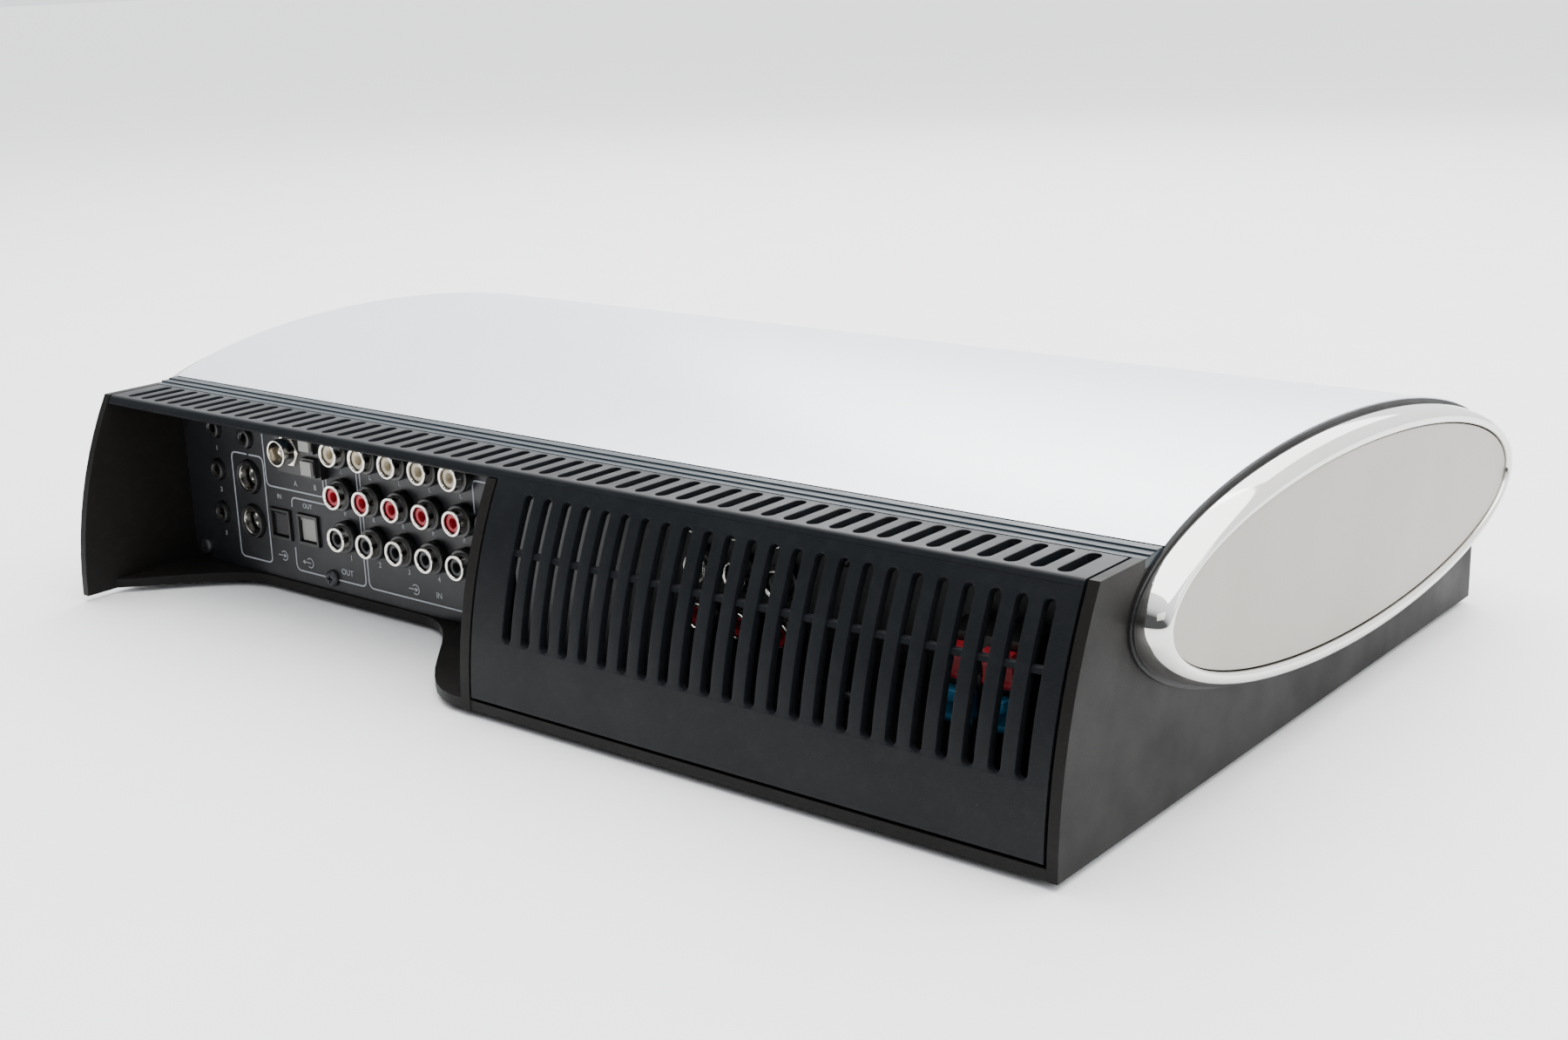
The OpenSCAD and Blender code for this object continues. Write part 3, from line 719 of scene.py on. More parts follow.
def oval_strip() -> NodeTree:
    """Node group that bends a flat grid into a strip of the leaning oval and thickens it.

    Returns:
        The group.
    """
    group = NodeTree("oval_strip")
    for name, value in (("Half Width", 0.19), ("Semi Depth", 0.11), ("Semi Height", 0.03),
                        ("Centre Y", 0.0), ("Centre Z", 0.05), ("Lean", 0.04),
                        ("Start", 0.5), ("End", 2.7), ("Thickness", 0.0014)):
        group.add_socket(name, "NodeSocketFloat", value=value)
    group.add_socket("Segments", "NodeSocketInt", value=96)
    group.add_socket("Material", "NodeSocketMaterial")
    grid = group.node("GeometryNodeMeshGrid", {"Size X": 1.0, "Size Y": 1.0,
                      "Vertices X": group.given("Segments"), "Vertices Y": 2})
    place = group.tree.nodes.new("ShaderNodeSeparateXYZ")
    group.tree.links.new(group.node("GeometryNodeInputPosition"), place.inputs[0])
    share = group.math("ADD", place.outputs["X"], 0.5)
    depth = group.math("MULTIPLY", group.math("ADD", place.outputs["Y"], 0.5),
                       group.given("Thickness"))
    sweep = group.math("SUBTRACT", group.given("End"), group.given("Start"))
    angle = group.math("ADD", group.given("Start"), group.math("MULTIPLY", share, sweep))
    u = group.math("MULTIPLY", group.math("SUBTRACT", group.given("Semi Depth"), depth),
                   group.math("COSINE", angle))
    v = group.math("MULTIPLY", group.math("SUBTRACT", group.given("Semi Height"), depth),
                   group.math("SINE", angle))
    cos_k = group.math("COSINE", group.given("Lean"))
    sin_k = group.math("SINE", group.given("Lean"))
    y = group.math("ADD", group.given("Centre Y"), group.math(
        "SUBTRACT", group.math("MULTIPLY", u, cos_k), group.math("MULTIPLY", v, sin_k)))
    z = group.math("ADD", group.given("Centre Z"), group.math(
        "ADD", group.math("MULTIPLY", u, sin_k), group.math("MULTIPLY", v, cos_k)))
    x = group.math("MULTIPLY", group.given("Half Width"), -1.0)
    point = group.node("ShaderNodeCombineXYZ", {"X": x, "Y": y, "Z": z})
    bent = group.node("GeometryNodeSetPosition", {"Geometry": grid, "Position": point})
    width = group.math("MULTIPLY", group.given("Half Width"), 2.0)
    along = group.node("ShaderNodeCombineXYZ", {"X": width})
    grown = group.node("GeometryNodeExtrudeMesh",
                       {"Mesh": bent, "Offset": along, "Offset Scale": 1.0, "Individual": False})
    under = group.node("GeometryNodeFlipFaces", {"Mesh": bent})
    joined = group.tree.nodes.new("GeometryNodeJoinGeometry")
    group.tree.links.new(grown, joined.inputs[0])
    group.tree.links.new(under, joined.inputs[0])
    real = group.node("GeometryNodeRealizeInstances", {"Geometry": joined.outputs[0]})
    welded = group.node("GeometryNodeMergeByDistance", {"Geometry": real, "Distance": 0.00001})
    group.finish(group.node("GeometryNodeSetMaterial",
                            {"Geometry": welded, "Material": group.given("Material")}))
    return group


# ---------------------------------------------------------------- sub-assemblies

@dataclass
class Kit:
    """What every sub-assembly builds with.

    Attributes:
        frame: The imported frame.
        library: The materials.
        rows: Node group that repeats a mesh.
        shell: Node group that makes a strip of the oval.
    """
    frame: dict
    library: MaterialLibrary
    rows: NodeTree
    shell: NodeTree

    def soft(self, node: str, slot: str, width: float = 0.25, body: str = CHASSIS,
             segments: int = 2, sharp: float = 35.0) -> bpy.types.Object:
        """Adds a piece that follows a node's solid, with its edges rounded.

        Args:
            node: The node it stands for.
            slot: Its material slot.
            width: Width of the rounding in millimetres, 0 for none.
            body: Body that it rides on.
            segments: Faces across a rounding.
            sharp: Angle over which an edge is rounded, in degrees.

        Returns:
            The new object.
        """
        name = node + "_skin"
        mesh = softened_mesh(self.frame["nodes"][node], name, width, segments, sharp)
        return add_piece(name, mesh, [self.library[slot]], body, [node], weighted=True)

    def copies(self, sheet: Sheet, name: str, count: int, start: Point, step: Point,
               slot: str) -> bpy.types.Mesh:
        """Repeats a sheet's mesh in a straight row.

        Args:
            sheet: The faces to repeat.
            name: Name of the mesh.
            count: How many copies.
            start: Place of the first, in millimetres.
            step: Way to the next, in millimetres.
            slot: Its material slot.

        Returns:
            All copies as one mesh.
        """
        return self.rows.run(sheet.mesh(name), name, Count=count,
                             Start=tuple(v * MM for v in start),
                             Step=tuple(v * MM for v in step), Material=self.library[slot])


@dataclass
class SilverBody:
    """Silver shell over the oval, with a polished ring and a flat cap at each end."""
    kit: Kit
    ring_steps: int = 192

    def build(self) -> None:
        """Builds the shell, the rings and the caps."""
        self._shell()
        for side, sign in (("left", -1.0), ("right", 1.0)):
            self._ring(side, sign)
            self._cap(side, sign)
            self.kit.soft(f"{side}_end_frame", "frame_plastic", 0.0)

    def _shell(self) -> None:
        """Strip of the oval between the front fascia and the rail."""
        oval = PLAN.oval
        mesh = self.kit.shell.run(
            bpy.data.meshes.new("empty"), "shell_skin", Half_Width=PLAN.half_w * MM,
            Semi_Depth=oval.a * MM, Semi_Height=oval.b * MM, Centre_Y=oval.y * MM,
            Centre_Z=oval.z * MM, Lean=math.radians(oval.lean),
            Start=math.radians(PLAN.shell_start), End=math.radians(PLAN.shell_end),
            Thickness=PLAN.shell_t * MM, Segments=161,
            Material=self.kit.library["silver_shell"])
        sheet = Sheet()
        sheet.take(mesh)
        mesh = sheet.mesh("shell_skin")
        add_piece("shell_skin", mesh, [self.kit.library["silver_shell"]], CHASSIS,
                  ["top_shell"], weighted=True)

    def _sweep(self, name: str, profile: Sequence[Pair], sign: float) -> Sheet:
        """Sweeps a profile round the oval.

        Args:
            name: Name of the piece; a ring is closed on itself.
            profile: Points of (x, inset).
            sign: -1 for the left end, 1 for the right.

        Returns:
            The swept faces.
        """
        sheet = Sheet()
        rows = []
        for k in range(self.ring_steps):
            angle = 360 * k / self.ring_steps
            rows.append([(sign * x, *PLAN.oval.at(angle, inset)) for x, inset in profile])
        sheet.sweep(rows, around=True, closed=name.endswith("ring_skin"))
        return sheet

    def _ring(self, side: str, sign: float) -> None:
        """Half-round ring with its crest nearer to the cap.

        Args:
            side: left or right.
            sign: -1 for the left end, 1 for the right.
        """
        x0 = PLAN.half_w + PLAN.frame_t
        low, edge, top = PLAN.ring_in, PLAN.ring_w, x0 + PLAN.ring_t
        crest = low + (edge - low) * 0.68
        profile = [(x0, low + 0.25), (x0 + 0.12, low + 0.06), (x0 + 0.4, low)]
        for k in range(1, 19):
            a = math.radians(90 * k / 18)
            profile.append((x0 + 0.4 + (PLAN.ring_t - 0.4) * math.sin(a),
                            crest - (crest - low) * math.cos(a)))
        for k in range(1, 7):
            a = math.radians(90 * k / 6)
            profile.append((top - 1.1 * (1 - math.cos(a)), crest + (edge - crest) * math.sin(a)))
        profile += [(x0 + 3.0, edge), (x0, edge)]
        name = f"{side}_ring_skin"
        mesh = self._sweep(name, profile, sign).mesh(name)
        add_piece(name, mesh, [self.kit.library["polished_chrome"]], CHASSIS,
                  [f"{side}_end_ring"], angle=50)

    def _cap(self, side: str, sign: float) -> None:
        """Flat cap with a small rounding, inside the ring.

        Args:
            side: left or right.
            sign: -1 for the left end, 1 for the right.
        """
        x0 = PLAN.half_w + PLAN.frame_t + 3.7
        x1 = PLAN.half_w + PLAN.frame_t + PLAN.ring_t - 1.3
        inset = PLAN.ring_w + 0.3
        profile = [(x0, inset), (x1 - 0.35, inset), (x1 - 0.1, inset + 0.12),
                   (x1, inset + 0.4), (x1, inset + 1.6)]
        name = f"{side}_cap_skin"
        sheet = self._sweep(name, profile, sign)
        for x, d in (profile[0], profile[-1]):
            sheet.face(*[(sign * x, *PLAN.oval.at(360 * k / self.ring_steps, d))
                         for k in range(self.ring_steps)])
        add_piece(name, sheet.mesh(name), [self.kit.library["satin_cap"]], CHASSIS,
                  [f"{side}_end_cap"], weighted=True)


@dataclass(frozen=True)
class SlotCell:
    """One slot with the plate round it, before it is repeated, in millimetres.

    Attributes:
        pitch: Width of the plate.
        width: Width of the slot.
        low: Where the slot starts along the plate.
        high: Where it ends.
        thick: Thickness of the plate.
        lip: Width of the rounding round the slot.
    """
    pitch: float
    width: float
    low: float
    high: float
    thick: float
    lip: float = 0.4

    def outline(self, grow: float, caps: int = 10, spacing: float = 3.0) -> list[Pair]:
        """Right half of the slot's outline, from its low end to its high end.

        Args:
            grow: Distance by which it is grown.
            caps: Faces in a quarter of a round end.
            spacing: Length of the faces along the straight part.

        Returns:
            Points of (x, along).
        """
        r = self.width / 2
        points = []
        for k in range(caps + 1):
            a = math.radians(-90 + 90 * k / caps)
            points.append(((r + grow) * math.cos(a), self.low + r + (r + grow) * math.sin(a)))
        length = self.high - self.low - 2 * r
        count = max(1, round(length / spacing))
        points += [(r + grow, self.low + r + length * k / count) for k in range(1, count)]
        for k in range(caps + 1):
            a = math.radians(90 * k / caps)
            points.append(((r + grow) * math.cos(a), self.high - r + (r + grow) * math.sin(a)))
        return points

    def sheet(self, place: Place,
              before: Sequence[Pair], after: Sequence[Pair]) -> Sheet:
        """Faces of one cell.

        Args:
            place: Turns (x, along, depth) into a point.
            before: Rows of (along, depth) before the slot, from the edge.
            after: Rows of (along, depth) after the slot, to the edge.

        Returns:
            The cell, open at its two sides only.
        """
        sheet = Sheet()
        half = self.pitch / 2
        rings = [(self.outline(self.lip), 0.0), (self.outline(self.lip * 0.3), self.lip * 0.3),
                 (self.outline(0.0), self.lip), (self.outline(0.0), self.thick)]
        outer = rings[0][0]
        for side in (-1, 1):
            edge = [(side * half, s) for _, s in outer]
            for depth, ring in ((0.0, outer), (self.thick, rings[-1][0])):
                sheet.strip([place(x, s, depth) for x, s in edge],
                            [place(side * x, s, depth) for x, s in ring])
            for (first, d0), (second, d1) in zip(rings, rings[1:]):
                sheet.strip([place(side * x, s, d0) for x, s in first],
                            [place(side * x, s, d1) for x, s in second])
        inner = rings[-1][0]
        for rows, near, under in ((before, outer[0][1], inner[0][1]),
                                  (list(reversed(after)), outer[-1][1], inner[-1][1])):
            path = [*rows, (near, 0.0)]
            back = [(rows[0][0], self.thick), *[(s, self.thick) for s, d in rows[1:] if d == 0]]
            for chain in (path, [path[0], back[0]], back):
                columns = [[place(x, s, d) for x in (-half, 0.0, half)] for s, d in chain]
                sheet.sweep(columns, around=False, closed=False)
            for side in (-1, 1):
                sheet.face(place(side * half, back[-1][0], self.thick),
                           place(side * half, near, self.thick), place(0.0, under, self.thick),
                           place(0.0, back[-1][0], self.thick))
        return sheet


@dataclass
class RearCover:
    """Lift-off cover: slotted ledge, bulged back face, bar and lip over the bay."""
    kit: Kit
    body: str = "rear_cover"
    edge_r: float = 1.3
    ledge_slots: int = 51
    ledge_slot_w: float = 3.6
    ledge_slot_y: Pair = (92.2, 108.2)
    back_slots: int = 24
    back_slot_w: float = 3.2
    back_slot_z: Pair = (24.0, 62.9)
    back_slot_x: float = -179.5
    bar_x: Pair = (-182.5, -6.0)
    bar_z: Pair = (46.8, 48.4)

    def build(self) -> None:
        """Builds the cover as one piece."""
        sheet = Sheet()
        for part in (self._ledge(), self._back()):
            sheet.take(part)
        self._extrusion(sheet, PLAN.rib_x, PLAN.cover_w, PLAN.lip_low)
        self._extrusion(sheet, PLAN.cover_x, PLAN.rib_x, PLAN.ledge_z - PLAN.cover_t + 0.01)
        self._bar(sheet)
        mesh = sheet.mesh("cover_skin", merge=0.0001)
        add_piece("cover_skin", mesh, [self.kit.library["cover_plastic"]], self.body,
                  ["rear_cover"], angle=40, weighted=True)

    def _ledge(self) -> bpy.types.Mesh:
        """Flat ledge with its row of slots.

        Returns:
            Its mesh.
        """
        pitch = PLAN.ledge_pitch
        cell = SlotCell(pitch, self.ledge_slot_w, *self.ledge_slot_y, PLAN.cover_t, 0.35)
        start, end = PLAN.ledge_y, PLAN.seam_y + 0.04
        sheet = cell.sheet(lambda x, s, d: (x, s, PLAN.ledge_z - d),
                           [(start, 0.4), (start + 0.12, 0.12), (start + 0.4, 0.0)],
                           [(end, 0.0)])
        first = -(self.ledge_slots // 2) * pitch
        mesh = self.kit.copies(sheet, "ledge_cells", self.ledge_slots, (first, 0, 0),
                               (pitch, 0, 0), "cover_plastic")
        end = self.ledge_slots / 2 * pitch
        return self._closed(mesh, (-end, end), (-PLAN.cover_w, PLAN.cover_w))

    def _corner(self) -> tuple[float, float]:
        """Angle of the outer top edge, and half of its rounding along the arc."""
        top = math.asin(PLAN.ledge_z / PLAN.arc_r)
        return top, self.edge_r * math.tan((math.pi / 2 - top) / 2)

    def _place(self, x: float, s: float, d: float) -> Point:
        """Point on the back.

        Args:
            x: Place across.
            s: Distance over the edge and down the face.
            d: Depth inwards.

        Returns:
            The point in millimetres.
        """
        top, half = self._corner()
        y_edge = PLAN.arc_y + PLAN.arc_r * math.cos(top)
        flat = y_edge - half - PLAN.seam_y
        turn = math.pi / 2 - top
        arc = self.edge_r * turn
        inner = (PLAN.arc_y + math.sqrt((PLAN.arc_r - d) ** 2 - (PLAN.ledge_z - d) ** 2),
                 PLAN.ledge_z - d)
        if s <= flat:
            y = PLAN.seam_y + s
            if d >= self.edge_r and y > inner[0]:
                return (x, *inner)
            return (x, y, PLAN.ledge_z - d)
        if s <= flat + arc:
            if d >= self.edge_r:
                return (x, *inner)
            a = (s - flat) / self.edge_r
            y, z = y_edge - half, PLAN.ledge_z - self.edge_r
            r = self.edge_r - d
            return (x, y + r * math.sin(a), z + r * math.cos(a))
        angle = top - (half + s - flat - arc) / PLAN.arc_r
        if d >= self.edge_r and angle > math.asin((PLAN.ledge_z - d) / (PLAN.arc_r - d)):
            return (x, *inner)
        r = PLAN.arc_r - d
        return (x, PLAN.arc_y + r * math.cos(angle), r * math.sin(angle))

    def _along(self, z: float) -> float:
        """Distance along the back where it has a height.

        Args:
            z: The height.

        Returns:
            The distance from the seam.
        """
        top, half = self._corner()
        flat = PLAN.arc_y + PLAN.arc_r * math.cos(top) - half - PLAN.seam_y
        return (flat + self.edge_r * (math.pi / 2 - top) - half
                + (top - math.asin(z / PLAN.arc_r)) * PLAN.arc_r)

    def _upper_rows(self) -> list[Pair]:
        """Rows from the seam over the rounded edge to the fine mould line.

        Returns:
            Rows of (distance, depth).
        """
        top, half = self._corner()
        flat = PLAN.arc_y + PLAN.arc_r * math.cos(top) - half - PLAN.seam_y
        arc = self.edge_r * (math.pi / 2 - top)
        line = flat + arc + 1.1
        return [(0.0, 0.0), (flat, 0.0), *[(flat + arc * k / 6, 0.0) for k in range(1, 7)],
                (line, 0.0), (line + 0.06, 0.09), (line + 0.26, 0.09), (line + 0.32, 0.0)]

    def _back(self) -> bpy.types.Mesh:
        """Bulged back face with its row of tall slots.

        Returns:
            Its mesh.
        """
        start, end = self._along(self.back_slot_z[1]), self._along(self.back_slot_z[0])
        pitch, first = PLAN.back_pitch, self.back_slot_x
        cell = SlotCell(pitch, self.back_slot_w, start, end, PLAN.cover_t)
        last = self._along(PLAN.cover_low)
        count = 5
        lower = [(end + 1.2 + (last - 0.5 - end - 1.2) * k / count, 0.0)
                 for k in range(count + 1)]
        sheet = cell.sheet(self._place, self._upper_rows(),
                           [*lower, (last - 0.12, 0.12), (last, 0.42)])
        mesh = self.kit.copies(sheet, "back_cells", self.back_slots, (first, 0, 0),
                               (pitch, 0, 0), "cover_plastic")
        end = first + (self.back_slots - 0.5) * pitch
        return self._closed(mesh, (first - pitch / 2, end), (-PLAN.cover_w, PLAN.cover_x))

    @staticmethod
    def _closed(mesh: bpy.types.Mesh, ends: Pair, sides: Pair) -> bpy.types.Mesh:
        """Pulls a row's two end edges out to the cover's sides and closes them.

        Args:
            mesh: The row of cells.
            ends: Where its end edges are.
            sides: Where they go.

        Returns:
            The closed mesh.
        """
        for vertex in mesh.vertices:
            for end, side in zip(ends, sides):
                if abs(vertex.co.x - end * MM) < 0.02 * MM:
                    vertex.co.x = side * MM
        sheet = Sheet()
        sheet.take(mesh)
        return sheet.mesh("closed_row", fill=True)

    def _extrusion(self, sheet: Sheet, x0: float, x1: float, low: float) -> None:
        """Straight stretch of the top edge.

        Args:
            sheet: Where its faces go.
            x0: Start across.
            x1: End across.
            low: Height that it reaches down to.
        """
        last = self._along(low)
        rows = [(s, d) for s, d in self._upper_rows() if s < last - 0.3]
        rows += [(last - 0.25, 0.0), (last - 0.07, 0.07), (last, 0.25)]
        outer = [self._place(0, s, d)[1:] for s, d in rows]
        inner = [self._place(0, s, PLAN.cover_t)[1:] for s, _ in reversed(rows)]
        outline = [p for k, p in enumerate(outer + inner) if p != (outer + inner)[k - 1]]
        part = Sheet()
        part.prism(outline, lambda u, v, d: (d, u, v), (x0, x1))
        sheet.take(part.mesh("stretch"))

    def _bar(self, sheet: Sheet) -> None:
        """Bar that crosses the slots of the back face, with rounded edges.

        Args:
            sheet: Where its faces go.
        """
        (z0, z1), r, soft = self.bar_z, PLAN.arc_r - 0.8, 0.25

        def at(z: float, radius: float) -> Pair:
            """Point at a height on an arc."""
            return PLAN.arc_y + math.sqrt(radius ** 2 - z ** 2), z
        outline = [at(z0, r - 1.4), at(z0, r - soft), at(z0 + 0.12, r - 0.12), at(z0 + soft, r),
                   at(z1 - soft, r), at(z1 - 0.12, r - 0.12), at(z1, r - soft), at(z1, r - 1.4)]
        part = Sheet()
        part.prism(outline, lambda u, v, d: (d, u, v), self.bar_x)
        sheet.take(part.mesh("bar"))


def paint(mesh: bpy.types.Mesh, index: int, test: Callable[[Vector], bool]) -> None:
    """Gives a material index to some faces.

    Args:
        mesh: The mesh.
        index: The material index.
        test: Whether a face's middle, in millimetres, is meant.
    """
    for face in mesh.polygons:
        if test(face.center / MM):
            face.material_index = index


@dataclass
class PhonoSockets:
    """Rows of phono sockets: black housings, plated sleeves and coloured inserts."""
    kit: Kit
    audio_columns: int = 5
    video_columns: int = 3
    rows: int = 3

    def build(self) -> None:
        """Builds each housing with its sleeves, and the inserts row by row."""
        columns = [PLAN.phono_x - k * PLAN.phono_pitch for k in range(self.audio_columns)]
        video = [PLAN.video_x - k * PLAN.phono_pitch for k in range(self.video_columns)]
        for k, x in enumerate(columns):
            self._housing(f"phono_skin_{k + 1}", f"phono_stack_{k + 1}", [x], PLAN.phono_z)
        self._housing("video_phono_skin", "video_phono_block", video, PLAN.video_z)
        low, high, p = PLAN.phono_z, PLAN.video_z, PLAN.phono_pitch
        self._inserts("black", "black_plastic", [low], [high + p, high + 2 * p])
        self._inserts("red", "red_plastic", [low + p], [high])
        self._inserts("white", "ivory_plastic", [low + 2 * p], [])

    def _housing(self, name: str, node: str, columns: Sequence[float], z: float) -> None:
        """Sleeves and collars in front of a moulded housing.

        Args:
            name: Name of the piece.
            node: Node that it stands for.
            columns: Where its columns are across.
            z: Height of the lowest row.
        """
        y, p = PLAN.panel_y, PLAN.phono_pitch
        sheet = Sheet()
        for x in columns:
            sleeve, collar = Sheet(), Sheet()
            sleeve.lathe([(3.5, 0.1), (4.15, 0.1), (4.15, 5.6), (4.08, 5.85), (3.9, 6.0),
                          (3.5, 6.0), (3.2, 5.9), (3.08, 5.7), (3.08, 5.5), (3.2, 5.35),
                          (3.5, 5.3), (3.5, 0.1)], (x, y, z), capped=False)
            collar.lathe([(4.1, -1.15), (4.3, -1.15), (4.3, 0.02), (5.3, 0.02), (5.3, 2.6),
                          (5.18, 2.88), (4.9, 3.0), (4.3, 3.0), (4.17, 2.9), (4.1, -1.15)],
                         (x, y, z), capped=False)
            for part, index in ((sleeve, 1), (collar, 0)):
                row = self.kit.copies(part, "row", self.rows, (0, 0, 0), (0, 0, p), "nickel")
                sheet.take(row, index)
        sheet.take(softened_mesh(self.kit.frame["nodes"][node], "housing", 0.0), 2)
        mesh = sheet.mesh(name, merge=0.0001)
        behind = bmesh.new()
        behind.from_mesh(mesh)
        front = [f for f in behind.faces if f.material_index == 2
                 and any(v.co.y > (y - 1.2) * MM + 1e-6 for v in f.verts)]
        bmesh.ops.delete(behind, geom=front, context="FACES")
        loose = [e for e in behind.edges if e.is_boundary]
        bmesh.ops.holes_fill(behind, edges=loose, sides=0)
        for face in behind.faces:
            face.material_index %= 2
        behind.to_mesh(mesh)
        behind.free()
        library = self.kit.library
        add_piece(name, mesh, [library["socket_black"], library["nickel"]], CHASSIS,
                  [node])

    def _inserts(self, color: str, slot: str, audio: Sequence[float],
                 video: Sequence[float]) -> None:
        """Inserts of one colour.

        Args:
            color: Their colour, for the names.
            slot: Their material slot.
            audio: Their heights in the audio columns.
            video: Their heights in the video columns.
        """
        profile = [(0.0, 0.8), (1.6, 0.8), (1.6, 4.75), (1.72, 5.0), (2.15, 5.1), (2.8, 5.1),
                   (3.1, 4.95), (3.25, 4.6), (3.4, 4.4), (3.4, 0.1), (0.0, 0.1)]
        whole = Sheet()
        for first, count, heights in ((PLAN.phono_x, self.audio_columns, audio),
                                      (PLAN.video_x, self.video_columns, video)):
            for z in heights:
                part = Sheet()
                part.lathe(profile, (first, PLAN.panel_y, z), capped=False)
                whole.take(self.kit.copies(part, "inserts", count, (0, 0, 0),
                                           (-PLAN.phono_pitch, 0, 0), slot))
        name = f"inserts_{color}_skin"
        add_piece(name, whole.mesh(name), [self.kit.library[slot]], CHASSIS,
                  [f"phono_inserts_{color}"])


@dataclass
class OtherSockets:
    """DIN, jack, antenna, optical, speaker and mains connectors."""
    kit: Kit
    dins: tuple[Pair, ...] = ((152.5, 38.5), (152.5, 23.0), (35.2, 38.5))
    jacks: tuple[Pair, ...] = ((169.5, 53.5), (169.5, 38.9), (169.5, 23.7), (152.5, 52.0))
    antenna: Pair = (126.5, 51.5)
    inlet: Pair = (-173.2, 19.0)

    def build(self) -> None:
        """Builds all the connectors."""
        for k, place in enumerate(self.dins):
            self._din(k + 1, place)
        self._jacks()
        self._antenna()
        for name in ("optical_input", "optical_output"):
            self.kit.soft(name, "socket_black", 0.2)
        self.kit.soft("input_shutter", "black_plastic", 0.1, "input_shutter")
        self.kit.soft("output_shutter", "shutter_grey", 0.1, "output_shutter")
        self.kit.soft("speaker_terminals", "socket_black", 0.25)
        for k in range(1, 5):
            slot = "blue_plastic" if k < 3 else "red_plastic"
            self.kit.soft(f"speaker_lever_{k}", slot, 0.35, f"speaker_lever_{k}")
        self._two_tone("mains_inlet", lambda c: any(
            math.hypot(c.x - self.inlet[0] - s * 4.3, c.z - self.inlet[1]) < 1.25
            and c.y > PLAN.panel_y + 2.2 for s in (-1, 1)))
        self.kit.soft("headphone_jack", "nickel", 0.2)

    def _two_tone(self, node: str, plated: Callable[[Vector], bool]) -> None:
        """Black moulding whose contacts are plated.

        Args:
            node: Node that it stands for.
            plated: Whether a point is on a contact.
        """
        mesh = softened_mesh(self.kit.frame["nodes"][node], node + "_skin", 0.2)
        paint(mesh, 1, plated)
        library = self.kit.library
        add_piece(node + "_skin", mesh, [library["socket_black"], library["nickel"]], CHASSIS,
                  [node], weighted=True)

    def _din(self, number: int, place: Pair) -> None:
        """Round socket with a plated shield, a key and four contacts.

        Args:
            number: Number of the node.
            place: Where it is on the panel.
        """
        center = (place[0], PLAN.panel_y, place[1])
        sheet = Sheet()
        sheet.lathe([(0, -6.5), (5.6, -6.5), (5.6, 1.25), (5.5, 1.5), (5.3, 1.6), (5.05, 1.6),
                     (4.85, 1.5), (4.8, 1.3), (4.8, -4.6), (0, -4.6)], center, capped=False)
        sheet.lathe([(4.3, -4.5), (4.72, -4.5), (4.72, 0.9), (4.62, 1.0), (4.4, 1.0),
                     (4.3, 0.9), (4.3, -4.5)], center, material=1, capped=False)
        sheet.lathe([(0, -4.5), (3.4, -4.5), (3.4, -2.2), (3.2, -2.0), (0, -2.0)], center,
                    capped=False)
        for k in range(4):
            angle = math.radians(45 + 90 * k)
            pin = (center[0] + 2.1 * math.cos(angle), center[1], center[2] + 2.1 * math.sin(angle))
            sheet.lathe([(0, -2.1), (0.45, -2.1), (0.45, -1.9), (0.3, -1.85), (0, -1.85)], pin,
                        12, 1, False)
        sheet.prism([(-1.1, -0.5), (1.1, -0.5), (1.1, 0.5), (-1.1, 0.5)],
                    lambda u, v, d: (center[0] + u, center[1] + d, center[2] + v), (-2.1, -1.4))
        x, z = place
        sheet.prism([(x - 6.8, z - 6.4), (x + 4, z - 6.4), (x + 4, z + 6.4), (x - 6.8, z + 6.4)],
                    lambda u, v, d: (u, d, v), (70.0, PLAN.panel_y - 6.6))
        name = f"din_skin_{number}"
        library = self.kit.library
        add_piece(name, sheet.mesh(name), [library["socket_black"], library["nickel"]], CHASSIS,
                  [f"din_socket_{number}"])

    def _jacks(self) -> None:
        """Four small round sockets as one piece."""
        sheet = Sheet()
        for x, z in self.jacks:
            center = (x, PLAN.panel_y, z)
            sheet.lathe([(0, -10), (3.4, -10), (3.4, 1.2), (3.3, 1.45), (3.05, 1.6), (2.3, 1.6),
                         (2.0, 1.4), (2.0, -9), (0, -9)], center, capped=False)
            sheet.lathe([(1.75, -6), (1.98, -6), (1.98, 0.9), (1.75, 0.9), (1.75, -6)], center,
                        24, 1, False)
            sheet.prism([(x - 5, z - 5.5), (x + 5, z - 5.5), (x + 5, z + 5.5), (x - 5, z + 5.5)],
                        lambda u, v, d: (u, d, v), (70.0, PLAN.panel_y - 10.2))
        library = self.kit.library
        add_piece("mini_jack_skin", sheet.mesh("mini_jack_skin"),
                  [library["socket_black"], library["nickel"]], CHASSIS,
                  ["mini_jacks"])

    def _antenna(self) -> None:
        """Coaxial socket with a nut, and two wire clips beside it."""
        x, z = self.antenna
        y = PLAN.panel_y
        sheet = Sheet()

        def slab(x0: float, x1: float, top: float) -> None:
            """Slab on the panel, with cut corners.

            Args:
                x0: Start across.
                x1: End across.
                top: Height above the panel.
            """
            cut = 0.5
            outline = [(x0, z - 8 + cut), (x0 + cut, z - 8), (x1 - cut, z - 8),
                       (x1, z - 8 + cut), (x1, z + 8 - cut), (x1 - cut, z + 8),
                       (x0 + cut, z + 8), (x0, z + 8 - cut)]
            sheet.prism(outline, lambda u, v, d: (u, d, v), (y, y + top))

